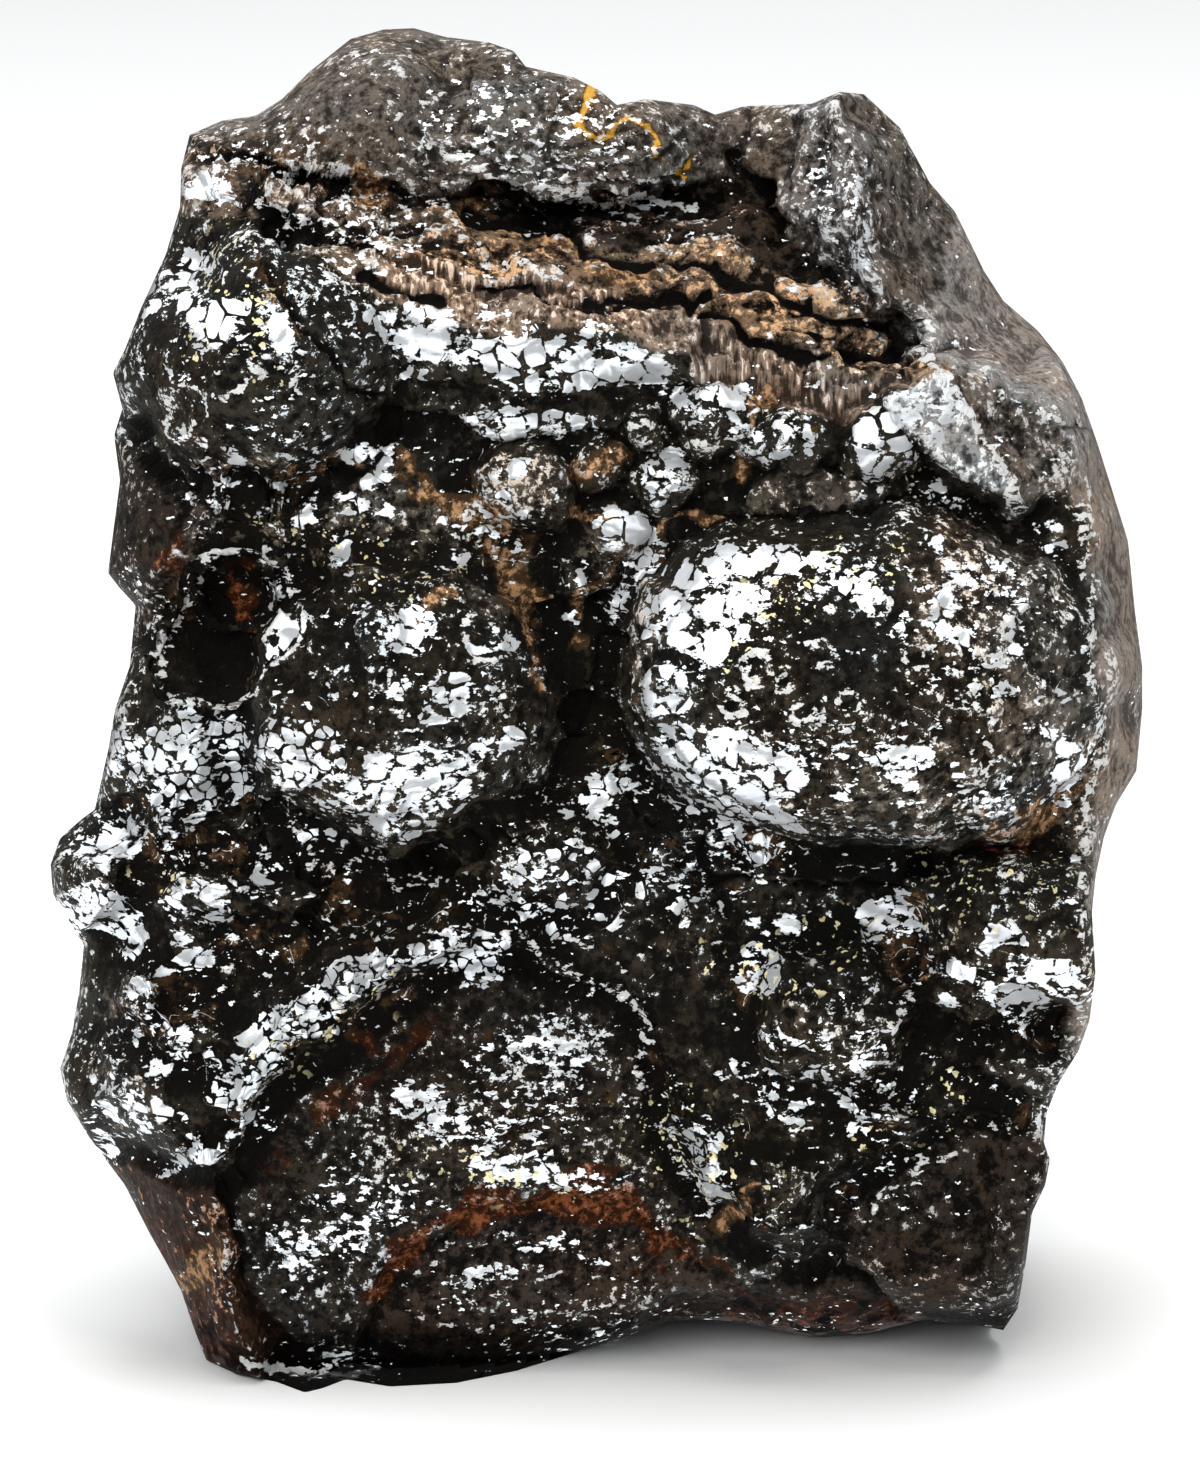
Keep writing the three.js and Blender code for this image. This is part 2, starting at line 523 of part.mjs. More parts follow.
const group = new THREE.Group();
group.add(specimen);

export default group;
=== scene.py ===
"""Botryoidal hematite hand specimen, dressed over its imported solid.

The face of the rock is a height w over the place (u, v) on it, in millimetres: u to the right, v up
the face and w out of it. Domes, shells, ledges and breaks give the main form, and finer growth is
pushed out along the surface. The rest of the rock is closed by rings that run back to a broken back.
"""

import math

import bpy
import numpy as np
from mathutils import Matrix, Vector


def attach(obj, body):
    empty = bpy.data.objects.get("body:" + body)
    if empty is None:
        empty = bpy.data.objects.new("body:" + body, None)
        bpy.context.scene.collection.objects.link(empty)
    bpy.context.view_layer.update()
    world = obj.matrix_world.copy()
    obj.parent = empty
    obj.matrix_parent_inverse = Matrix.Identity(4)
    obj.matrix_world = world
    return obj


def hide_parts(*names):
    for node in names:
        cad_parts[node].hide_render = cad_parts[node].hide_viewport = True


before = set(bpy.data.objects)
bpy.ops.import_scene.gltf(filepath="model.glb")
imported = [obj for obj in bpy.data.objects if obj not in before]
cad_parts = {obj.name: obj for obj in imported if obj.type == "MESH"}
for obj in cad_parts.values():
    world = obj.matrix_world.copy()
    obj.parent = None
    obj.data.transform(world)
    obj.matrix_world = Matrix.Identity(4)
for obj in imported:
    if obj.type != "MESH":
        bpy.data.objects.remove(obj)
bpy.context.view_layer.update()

bl_info = {
    "name": "Botryoidal hematite specimen",
    "version": (1, 0, 0),
    "blender": (4, 5, 0),
    "location": "View3D > Sidebar > Hematite",
    "description": "Builds a glossy botryoidal hematite hand specimen and its plain studio",
    "category": "Object",
}

NODE = "hematite_specimen"
BODY = "root"
MM = 0.001
TRIANGLE_LIMIT = 200_000

# ---- main sizes, in millimetres ------------------------------------------------------------------

LEAN = math.radians(12)  # the face leans back from the vertical
FACE_MIDDLE = 54.8  # height on the face that the flare is measured from
EYE = 700.0  # viewing distance; the block widens by 1 / EYE for every millimetre behind the face
FLARE = 1 / EYE
VIEW_HEIGHT = 122.5  # height of the camera's view, measured at the face
SENSOR = 36  # longer side of the camera's sensor
FOOT_DEPTH = 8.0  # how far behind the face the front foot stands
BLOCK_DEPTH = 60.0  # from the face's foot to the back
BACK_SCALE = 0.84  # size of the back against the outline
SIDE_TAPER = 0.035  # steady taper of the sides, before they turn into the back
SIDE_HOLLOWS = 0.05  # how far the sides are hollowed, as a share of the half width
SHRINK_CENTRE = (0.0, 50.0)  # point of the face that the sides taper towards
BLOCK_MIDDLE = (-0.371, 30.495)  # middle of the block's box, before it is centred

VALLEY_LEVEL = -2.8  # w of the hollows between the domes
DOME_ROUNDNESS = 0.56  # 0.5 is a half ball, 1 a low swell
CRUST_WALL = 3.2  # steepness of the crust's broken sides
CUT_WALL = 2.6  # steepness of the walls round a broken facet
CREST_REACH = 1.5  # how far from its middle a crest line fades out
GROOVE = 0.45  # width of the grooves between raised growth cells, as a share of a cell
GREAT_DOME = (21, 59, 21.5, 15)  # middle u and v, half width and half height
HOLE = (25, 89.2, 1.9, 2.1)  # the hole under the spur, in the same order
HOLE_DEPTH = 7.0

# Outline of the face, anticlockwise from the lower left corner.
BOTTOM_EDGE = [
    (-33.8, 5.2), (-32.8, 2.7), (-30.2, 1.5), (-27, 0.9), (-24.6, 0), (-23, 0.4), (-21.2, 1.1), (-17.5, 0.5),
    (-12, 0.8), (-7, 1.8), (-2.5, 3.2), (2.2, 4.7), (5.6, 6), (9.5, 6.1), (13, 5.6), (17.6, 4.7), (22.5, 5),
    (27, 6.1), (31, 5.7), (33.6, 5.2),
]
RIGHT_EDGE = [
    (33.6, 5.2), (34.8, 7), (35.5, 11), (36, 15), (37.1, 17.3), (37.5, 19.4), (37, 20.8), (37.2, 23.3),
    (38.2, 25.8), (39.9, 28.5), (40.8, 31), (41.3, 35), (41, 40), (41.3, 43), (42, 46.3), (43, 49),
    (44.7, 51.8), (45.2, 57), (45.2, 60.5), (44.6, 65), (44, 71), (42.6, 75.5), (41.5, 79), (40.1, 83),
    (38.5, 86), (36.5, 88.5), (33.6, 91), (32, 93.5), (29.6, 98.4), (27.5, 100.8), (25, 105.4), (22, 108.2),
]
TOP_EDGE = [
    (22, 108.2), (20, 108.4), (17.6, 107.4), (12, 107.2), (9.6, 106.5), (7.8, 107.3), (3.8, 107.8),
    (1.4, 107.3), (0, 108.5), (-2.2, 109.6), (-6.2, 110.5), (-7.2, 111.8), (-9.2, 112.5), (-13, 113),
    (-15.5, 113.7), (-18, 113.6), (-20.8, 112.8), (-24.3, 110), (-26.5, 107.8), (-28.7, 106.4),
    (-31.5, 106), (-34.2, 104.8),
]
LEFT_EDGE = [
    (-34.2, 104.8), (-34.9, 102), (-35, 98.8), (-36.2, 94.8), (-38.2, 90.5), (-39.6, 86.9), (-40.6, 85),
    (-39.8, 82), (-40.5, 79.8), (-40, 76), (-40.6, 71.5), (-41, 68.3), (-40, 67), (-38.7, 65.6),
    (-39.2, 60.5), (-40.4, 57), (-41, 53.5), (-42.1, 48.6), (-43.2, 47.8), (-45, 46.2), (-45.8, 44),
    (-45.6, 41.6), (-44.4, 39.2), (-43, 37.4), (-43.4, 33.5), (-44, 30), (-45, 27), (-44.4, 24.3),
    (-42.6, 21.3), (-39.6, 17.3), (-37.6, 13.4), (-35, 8.8), (-33.8, 5.2),
]
OUTLINE = BOTTOM_EDGE[:-1] + RIGHT_EDGE[:-1] + TOP_EDGE[:-1] + LEFT_EDGE[:-1]

# Domes: centre u, centre v, half width, half height, w of the foot, rise.
DOMES = [
    (*GREAT_DOME, -3, 15),  # great right dome
    (-16.5, 57.2, 14.6, 13.8, -4, 11.5),  # left centre dome
    (-28.5, 85.5, 12.6, 11.4, -5, 12.5),  # upper left dome
    (-36.5, 55.6, 8.2, 7.6, -7.5, 6.8),  # low dome at the left edge
    (-11, 13, 24.5, 24, -6, 8.5),  # shell dome, broken open below
    (19, 31.3, 8.4, 7.8, -4, 7.5),  # medium dome
    (34, 37.5, 9.6, 8.2, -4.5, 8),  # lower right dome
    (35, 27, 5.2, 3.4, -4, 4.6),
    (23.5, 23.2, 3.8, 2.4, -3, 3.2),
    (-42, 43, 3.9, 4.6, -9, 6),  # knob on the left edge
    (-36, 47, 2.1, 2, -4.5, 2.4),
    (-38.5, 33, 3, 2.8, -6, 3.6),
    (-6.8, 75, 5, 4.4, -3.5, 5),  # the small domes between the great ones
    (0, 77.3, 2.6, 2.6, -3, 3),
    (4, 81, 2.3, 2.1, -2.6, 2.6),
    (9.5, 81.5, 3.5, 3.3, -3, 4),
    (5.5, 76, 2.9, 2.7, -3, 3.6),
    (16, 79.5, 4, 2.9, -3, 3.9),
    (23, 79.6, 3.8, 3.9, -3.5, 5.4),
    (-2.5, 67, 2.9, 2.6, -3, 2.8),
    (1.5, 72, 2.4, 2.2, -3, 2.4),
    (19, 75, 6.2, 2.8, -3, 3.8),
    (-1.5, 59.5, 1.9, 1.9, -3.5, 1.8),
    (-5.0, 44, 7.8, 6.2, -3.5, 5.4),
    (-27, 72, 2.6, 2.2, -1.5, 2.1),
    (-22, 69.5, 2.4, 2.1, -1.8, 2),
    (-32, 73, 2.6, 2.2, -2.4, 2.2),
    (-32, 42, 4.6, 3.4, -5, 3.6),
    (-25.5, 41, 4.4, 3, -4.6, 3),
    (-38, 24.5, 5.5, 5, -6.5, 5),
    (-33.6, 23.6, 3.8, 3.6, -5.5, 3.6),
    (-33.5, 29.5, 4, 3.4, -4.6, 3.2),
    (8, 39, 4.2, 3.4, -3.6, 2.8),
    (9.5, 47, 5, 3, -3.6, 3.4),
    (8, 20, 4.6, 4.4, -3, 3),
    (16, 17.5, 4.2, 4, -3.2, 2.8),
    (14, 43, 4, 2.6, -4.4, 2.4),
    (26, 41.5, 3, 2.4, -4.6, 3.2),
]
# Bulges along the rim of the broken shell: u, v, radius.
RIM_BULGES = [
    (-33.2, 19, 2.7), (-30.4, 23.6, 2.5), (-29, 27.2, 3.1), (-25.2, 30.4, 3.1), (-20.8, 33.6, 2.9),
    (-16, 35.8, 2.5), (-12, 37, 2.4), (-8, 37, 2.2),
]
# Open craters: u, v, radius, depth.
CRATERS = [(-31, 66.7, 2.7, 3.6), (-33.3, 61.8, 3.9, 2.4)]
# Small ring-shaped growths: u, v, radius, height of the rim.
RING_GROWTHS = [
    (13, 60.5, 1.1, 0.35), (15.5, 59.5, 0.9, 0.35), (11, 57.3, 0.8, 0.3), (23, 65, 1, 0.3),
    (32, 58, 1.2, 0.3), (15, 51.5, 1.2, 0.35), (-9.3, 63, 1.8, 0.45), (24.2, 32.2, 2.3, 0.35),
    (-18.5, 60, 1, 0.3), (18.5, 61.5, 0.9, 0.3), (20.5, 57.5, 1.1, 0.3), (26.5, 61, 1.3, 0.35),
    (17, 56.5, 0.8, 0.3), (31.5, 53, 1.3, 0.3), (-31, 84.5, 1.9, 0.4), (-27, 85, 1.7, 0.35),
    (-35.5, 81.5, 2.3, 0.4), (29, 68, 0.9, 0.25),
]
# Small knobs: u, v, radius, rise.
KNOBS = [
    (-18.5, 64, 2.5, 1.5), (-18.5, 48, 1.3, 0.7), (6, 58, 2.7, 1.6), (27, 66, 1.6, 0.6),
    (33, 64, 1.8, 0.7), (36, 58, 1.7, 0.7), (31, 52, 1.8, 0.6), (-22, 60, 1.4, 0.5),
    (-12, 53, 1.6, 0.5), (17, 66, 1.5, 0.5),
]

# Areas of the face, as closed outlines.
PLATEAU = [(-40, 78), (-36, 67), (-30, 66), (-14, 66), (-10, 70), (-13, 78), (-22, 82)]
SHELL_OPENING = [
    (-31.5, 16.5), (-28, 20), (-26, 23), (-22, 27), (-17, 30.3), (-14, 33), (-12, 34.3), (-8, 34.7),
    (-5, 34.3), (-2, 33.3), (0.6, 32.8), (2.4, 31), (3.4, 27), (4, 21.5), (5.5, 18.5), (8, 15), (11, 12),
    (16, 8.5), (18, -4), (-24, -4), (-29, 8), (-30, 13),
]
INNER_SHELL = [
    (-21, 1), (-19.8, 5.5), (-18.3, 9), (-15.5, 12.3), (-12, 14.2), (-9, 15.8), (-5, 16.3), (-1.3, 16.7),
    (1.5, 15.8), (4.5, 13), (7.5, 11.5), (11, 9.2), (15, 7.4), (16, -4), (-20, -4),
]
FOOT_FACET = [
    (-42, 19.5), (-36, 17.2), (-31.5, 16.3), (-30, 13), (-28.7, 8), (-24.4, 2.4), (-24, -4), (-44, -4),
]
CORNER_FACET = [
    (20.6, 15), (22, 16), (24.5, 18.3), (27, 20.2), (30, 21.5), (33, 22.2), (38.5, 21.6), (39, 2),
    (27.5, 4), (26, 6.8), (20.5, 9.6),
]
UNDERSIDE = [(11, 8.6), (15, 9.2), (20, 9.6), (25.5, 7), (34, 5.4), (38, 2), (10, 0)]
SIDE_FACET = [(-43, 80.5), (-40, 79), (-37, 75.5), (-35.4, 70.5), (-36.2, 68.6), (-38.6, 66), (-43, 66)]
CHIP = [
    (24, 82.5), (26.5, 84.3), (28.6, 84.8), (30.2, 81), (32.2, 78), (35.2, 75), (30, 76.8),
    (26.2, 79.3),
]
SHOULDER = [
    (28.6, 84.8), (31.2, 84.4), (35.2, 82.6), (37.4, 80.6), (38.8, 78), (38.6, 75.2), (35.2, 75),
    (32.2, 78), (30.2, 81),
]
CRUST_AREA = [
    (60, 20), (39.9, 28), (39.9, 31), (40.7, 34.5), (40.7, 37), (39.9, 41), (40, 44), (40.3, 47), (41, 50),
    (41.7, 54.5), (41, 60), (41, 65), (40.3, 70), (39.5, 72.5), (38.6, 75.5), (38.6, 78.5), (37.4, 80.8),
    (35.2, 82.8), (31.2, 84.6), (28.6, 85), (26.4, 86), (24, 87.6), (23, 91), (20, 94), (17, 95.5),
    (14.2, 98.5), (14.2, 101), (10, 101.3), (6.5, 101), (5, 99.6), (-5, 99.8), (-8, 100.5), (-12, 100.2),
    (-16, 101), (-22, 102.5), (-29, 104), (-36, 105.5), (-60, 106), (-60, -20), (60, -20),
]

# Thin broken shells on the top dome, and the smooth black band under the fibres.
LENS_AREA = [
    (-18, 108), (-17, 101), (-9, 98), (0, 98.5), (7, 101), (7, 105), (0, 107), (-4, 110), (-12, 111),
]
BLACK_BAND = [
    (-24, 92), (-22, 86.5), (-12, 84.5), (-4, 83.5), (7.5, 84.5), (9, 87), (0, 88.5), (-5, 88.8),
    (-16, 91),
]

# Break lines of the ledges under the top rind, from left to right.
BAND_FOOT = [
    (-60, 95), (-30, 95), (-22, 87), (-18, 85), (-12, 83.5), (-5, 83), (0, 83.4), (4, 84.2), (7, 84.6),
    (9, 84.2), (13, 82.6), (20, 81), (25, 83), (60, 83),
]
FIBRE_FOOT = [
    (-60, 99), (-30, 97.8), (-24, 94.6), (-20, 92.2), (-16, 90.2), (-12, 88.8), (-8, 87.7), (-5, 88.4),
    (0, 88.3), (4, 87.2), (7.4, 87.2), (8.6, 84.4), (13, 83.2), (15, 81.9), (20, 81.2), (22, 82.6),
    (24, 83.8), (60, 84),
]
FIBRE_TOP = [
    (-60, 101.5), (-30, 100), (-24, 97.6), (-16, 95), (-12, 93.6), (-5, 93), (0, 91.8), (4, 90.6), (8, 90),
    (12, 88.2), (17, 87), (19, 85.6), (25, 84.8), (60, 84.8),
]
LEDGE_TOP = [
    (-60, 104), (-30, 102), (-22, 99.8), (-16, 98.8), (-10, 98), (-5, 97), (0, 95.3), (3, 95), (6, 95.8),
    (9, 96.3), (13, 94.4), (17, 93.3), (21, 91.5), (25, 88), (60, 88),
]
RIND_LIP = [
    (-60, 107), (-30, 104), (-22, 102.4), (-16, 101), (-12, 100.2), (-8, 100.5), (-5, 99.8), (5, 99.6),
    (6.5, 101), (10, 101.3), (14.2, 101), (14.8, 98.4), (17, 95.6), (20, 94), (23, 91), (25, 89), (60, 89),
]
SPUR_FACE = [
    (14.6, 101), (15.5, 106.5), (19.5, 108), (22, 103), (22.5, 97), (24, 92), (22.5, 91.5), (18, 95.5),
]
# Levels (w) of the ledges, the recess, the rind and the spur, and how far the rind falls to its edge.
FIBRE_FOOT_LEVEL = 1.4
FIBRE_TOP_LEVEL = -3.4
LEDGE_LEVEL = -8.5
RECESS_LEVEL = -12.0
RECESS_EXTRA = 5.0
RIND_LEVEL = -11.0
RIND_FALL = 15.0
SPUR_CREST = [(88, 26), (92, 23.5), (98, 21), (106, 20), (112, 20)]  # v, u of its crest
SPUR_LEVEL = -5.5

# Flat breaks on the back and sides: outward direction and a point on the break.
BREAKS = [
    ((0, 0.75, 0.66), (0, 58, 97)),
    ((-0.5, 0.65, 0.57), (-20, 59.5, 96.5)),
    ((0.7, 0.7, 0.1), (32, 58, 40)),
    ((-0.72, 0.68, 0.12), (-30, 60, 40)),
    ((0.1, 0.72, -0.68), (0, 60, 12)),
    ((0.16, 0.98, 0.08), (0, 59.5, 50)),
    ((-0.2, 0.97, -0.1), (-10, 60, 45)),
    ((-0.8, 0.45, -0.4), (-38, 30, 20)),
]

# ---- small helpers for heights -------------------------------------------------------------------


def lerp(a, b, t):
    """Value between a and b."""
    return a + (b - a) * t


def ramp(x, start, end):
    """Smooth step from 0 at start to 1 at end."""
    t = np.clip((x - start) / (end - start), 0, 1)
    return t * t * (3 - 2 * t)


def rounded_max(a, b, k):
    """Larger of two heights, with a rounded crease of width k between them."""
    t = np.clip(0.5 + 0.5 * (a - b) / k, 0, 1)
    return b + (a - b) * t + k * t * (1 - t)


def rounded_min(a, b, k):
    """Smaller of two heights, with a rounded crease."""
    return -rounded_max(-a, -b, k)


def along(line, x):
    """Value at x on a line of (x, value) points."""
    points = np.asarray(line, float)
    return np.interp(x, points[:, 0], points[:, 1])


def on_face(u, v):
    """Points (u, v, 0), as the noise takes them."""
    return np.stack([u, v, 0 * u], axis=-1)


def signed_distance(outline, u, v):
    """Distance to a closed outline, negative inside it."""
    points = np.asarray(outline, float)
    nearest = np.full(np.shape(u), 1e9)
    inside = np.zeros(np.shape(u), bool)
    for (au, av), (bu, bv) in zip(points, np.roll(points, -1, axis=0)):
        du, dv = bu - au, bv - av
        t = np.clip(((u - au) * du + (v - av) * dv) / (du * du + dv * dv), 0, 1)
        nearest = np.minimum(nearest, (u - au - t * du) ** 2 + (v - av - t * dv) ** 2)
        if dv:
            inside ^= ((av > v) != (bv > v)) & (u < au + (v - av) * du / dv)
    distance = np.sqrt(nearest)
    return np.where(inside, -distance, distance)


def outside(outline, u, v):
    """Distance beyond a closed outline, 0 inside it."""
    return np.clip(signed_distance(outline, u, v), 0, None)


def within(outline, u, v, soft=0.3):
    """1 inside a closed outline and 0 outside, with a soft edge."""
    return 1 - ramp(signed_distance(outline, u, v), -soft, soft)


def dome(u, v, cu, cv, half_width, half_height, foot, rise):
    """Height of a round dome; beyond its foot it drops away steeply."""
    r = np.hypot((u - cu) / half_width, (v - cv) / half_height)
    drop = 1.2 * min(half_width, half_height) * np.clip(r - 1, 0, None)
    return foot + rise * np.clip(1 - r * r, 0, None) ** DOME_ROUNDNESS - drop


def hashed(x, y, z, seed):
    """Random value from 0 to 1 for whole-number places."""
    h = (x * 374761393 + y * 668265263 + z * 1440662683 + seed * 974634777) & 0xFFFFFFFF
    h = ((h ^ (h >> 13)) * 1274126177) & 0xFFFFFFFF
    return ((h ^ (h >> 16)) & 0xFFFFFF) / 0xFFFFFF


def value_noise(points, seed):
    """Smooth noise from -1 to 1 with features about one unit across."""
    cell = np.floor(points).astype(np.int64)
    t = points - cell
    t = t * t * t * (t * (t * 6 - 15) + 10)
    total = 0.0
    for corner in np.ndindex(2, 2, 2):
        weight = np.prod([t[:, i] if c else 1 - t[:, i] for i, c in enumerate(corner)], axis=0)
        total = total + weight * hashed(*(cell[:, i] + c for i, c in enumerate(corner)), seed)
    return 2 * total - 1


def layered_noise(points, seed, octaves, gain=0.5):
    """Noise in several octaves, from about -1 to 1."""
    total, strength, reach = 0.0, 1.0, 0.0
    for octave in range(octaves):
        total = total + strength * value_noise(points * 2.03 ** octave + 17.3 * octave, seed + octave)
        reach += strength
        strength *= gain
    return total / reach


def nearest_cells(points, seed):
    """Distances to the nearest and second nearest scattered seed, and the nearest one's random value."""
    cell = np.floor(points).astype(np.int64)
    first = np.full(len(points), 1e9)
    second = np.full(len(points), 1e9)
    value = np.zeros(len(points))
    for step in np.ndindex(3, 3, 3):
        at = [cell[:, i] + s - 1 for i, s in enumerate(step)]
        centre = np.stack([at[i] + hashed(*at, seed + 11 * i) for i in range(3)], axis=1)
        delta = points - centre
        distance = np.einsum("ij,ij->i", delta, delta)
        closer = distance < first
        second = np.where(closer, first, np.minimum(second, distance))
        value = np.where(closer, hashed(*at, seed + 57), value)
        first = np.where(closer, distance, first)
    return np.sqrt(first), np.sqrt(second), value


# ---- relief of the face --------------------------------------------------------------------------


def ledges(u, v, fibre_foot, fibre_top, ledge_top, lip):
    """Ledges that step back from the crust to the recess under the top rind."""
    recess = RECESS_LEVEL - RECESS_EXTRA * ramp(u, -16, -9) * (1 - ramp(u, 13, 22))
    fibre = np.clip((v - fibre_foot) / (fibre_top - fibre_foot), 0, 1)
    ledge = np.clip((v - fibre_top) / (ledge_top - fibre_top), 0, 1)
    hollow = np.clip((v - ledge_top) / (0.7 * np.maximum(0.3, lip - ledge_top)), 0, 1)
    level = FIBRE_FOOT_LEVEL + (FIBRE_TOP_LEVEL - FIBRE_FOOT_LEVEL) * fibre
    level = level + (LEDGE_LEVEL - FIBRE_TOP_LEVEL) * ledge + (recess - LEDGE_LEVEL) * hollow
    return level + 3 * np.clip(fibre_foot - v, 0, None)


def crust(u, v):
    """Height of the grape-like crust with its broken shells, ledges and facets."""
    plateau = 2.4 * (1 - ramp(signed_distance(PLATEAU, u, v), -2, 2.5))
    swell = 1.2 * np.exp(-(((u - 12) / 14) ** 2) - ((v - 22) / 14) ** 2)
    w = VALLEY_LEVEL - 0.003 * np.minimum(u, 0) ** 2 - 0.0012 * np.maximum(u, 0) ** 2 + plateau + swell
    for each in DOMES:
        w = rounded_max(w, dome(u, v, *each), 0.7)
    for cu, cv, radius in RIM_BULGES:
        foot = 0.8 - 0.01 * (cu + 11) ** 2
        w = rounded_max(w, dome(u, v, cu, cv, radius, radius, foot, 2.7), 0.5)
    for cu, cv, radius, depth in CRATERS:
        r = np.hypot(u - cu, v - cv) / radius
        w = w + 0.9 * np.exp(-(((r - 1.15) / 0.25) ** 2)) - depth * np.clip(1 - r * r, 0, None) ** 0.6

    band_foot, fibre_foot, fibre_top, ledge_top, lip = (
        along(line, u) for line in (BAND_FOOT, FIBRE_FOOT, FIBRE_TOP, LEDGE_TOP, RIND_LIP)
    )
    roll = 4.2 * ramp(u, -30, -17) * (1 - ramp(u, 6, 12))
    across = np.clip((v - band_foot) / np.maximum(0.5, fibre_foot - band_foot), 0, 1)
    band = VALLEY_LEVEL + roll * (0.22 + 0.78 * across + 0.1 * np.sin(math.pi * across))
    near_band = (v > band_foot - 3) & (v < fibre_foot + 3)
    w = np.where(near_band, rounded_max(w, band, 0.5), w)
    stepped = rounded_min(w, ledges(u, v, fibre_foot, fibre_top, ledge_top, lip), 0.4)
    w = np.where(v > fibre_foot - 4, stepped, w)
    lump = rounded_max(w, dome(u, v, 17, 90.3, 8.5, 3.2, -9, 6), 0.6)
    w = np.where(v > fibre_top, lump, w)

    shell_swell = 2.6 * np.exp(-(((u + 12) / 15) ** 2) - ((v - 22) / 9) ** 2)
    shell = -5.2 - 0.2 * np.clip(34 - v, 0, None) + shell_swell
    inner = -9.2 - 0.22 * np.clip(16 - v, 0, None) - 0.006 * (u + 4) ** 2
    cuts = [
        (SHELL_OPENING, shell),
        (INNER_SHELL, inner),
        (FOOT_FACET, -4.5 + 0.95 * (u + 30) - 0.12 * (17 - v)),
        (CORNER_FACET, -6 - 0.22 * (21 - v) + 1.8 * ramp(u, 31.5, 34)),
        (UNDERSIDE, -12.5 + 0.3 * (v - 8)),
        (SIDE_FACET, -5 + 0.7 * (u + 36)),
    ]
    for area, level in cuts:
        w = rounded_min(w, level + CUT_WALL * outside(area, u, v), 0.35)
    w = rounded_max(w, 1.6 - 0.12 * (u - 24) - CRUST_WALL * outside(CHIP, u, v), 0.3)
    shoulder = 1 - 0.55 * (u - 30) + 0.12 * (78 - v)
    return rounded_max(w, shoulder - CRUST_WALL * outside(SHOULDER, u, v), 0.3)


def rind(u, v, inset):
    """Height of the older rind behind the crust, along the top and down the right side."""
    high = ramp(v, 78, 100)
    reach = 5.5 + 7.5 * high
    level = -8 + (RIND_LEVEL + 8) * high
    w = level - RIND_FALL * np.clip(1 - inset / reach, 0, None) ** 1.5
    w = rounded_max(w, dome(u, v, -5, 103.5, 12.5, 6.5, -15, 6), 0.6)
    w = rounded_max(w, dome(u, v, -22, 104, 12, 9, -17, 7.5), 0.8)
    across = u - along(SPUR_CREST, v)
    spur = SPUR_LEVEL - 0.55 * np.clip(v - 98, 0, None) - np.where(across < 0, -1.15, 1.9) * across
    w = np.where(v > 86, rounded_max(w, spur, 0.4), w)
    return w - np.where(u < 24, 4 * np.clip(along(RIND_LIP, u) - v, 0, None), 0)


def floor_at(v):
    """Depth at which the line of sight through v on the face meets the floor."""
    below = (v - FACE_MIDDLE) * math.cos(LEAN)
    return (FLOOR_LEVEL - FACE_MIDDLE * math.cos(LEAN) - below) / (math.sin(LEAN) - below * FLARE)


def wavered(u, v):
    """Place on the face, moved a little so that drawn lines break up like natural ones."""
    places = on_face(u, v).reshape(-1, 3)
    shift = [
        0.75 * value_noise(places / 4.3, seed) + 0.35 * value_noise(places / 1.7, seed + 1)
        for seed in (31, 41)
    ]
    return u + shift[0].reshape(u.shape), v + shift[1].reshape(u.shape)


def face(u, v):
    """Height of the whole face."""
    inset = np.clip(-signed_distance(OUTLINE, u, v), 0, None)
    uw, vw = wavered(u, v)
    w = rounded_max(rind(uw, vw, inset), crust(uw, vw) - CRUST_WALL * outside(CRUST_AREA, uw, vw), 0.3)
    cu, cv, half_width, half_height = HOLE
    hole = np.hypot((uw - cu) / half_width, (vw - cv) / half_height)
    w = w - HOLE_DEPTH * np.clip(1 - hole * hole, 0, None) ** 0.6
    leftness = 1 - ramp(u, -22, -8) * ramp(v, 4, 14)
    radius = 1.2 + 6.5 * np.maximum(leftness, 0.55 * (1 - ramp(v, 5, 12)))
    radius = np.minimum(radius, 1.5 + 2.5 * np.clip(v, 0, None))  # the lowest tip stays thick
    turn = np.clip(1 - inset / radius, 0, 1)
    w = w - 1.25 * radius * (1 - np.sqrt(np.clip(1 - turn * turn, 0, None)))
    return np.maximum(w, floor_at(v))


# ---- fine relief ---------------------------------------------------------------------------------


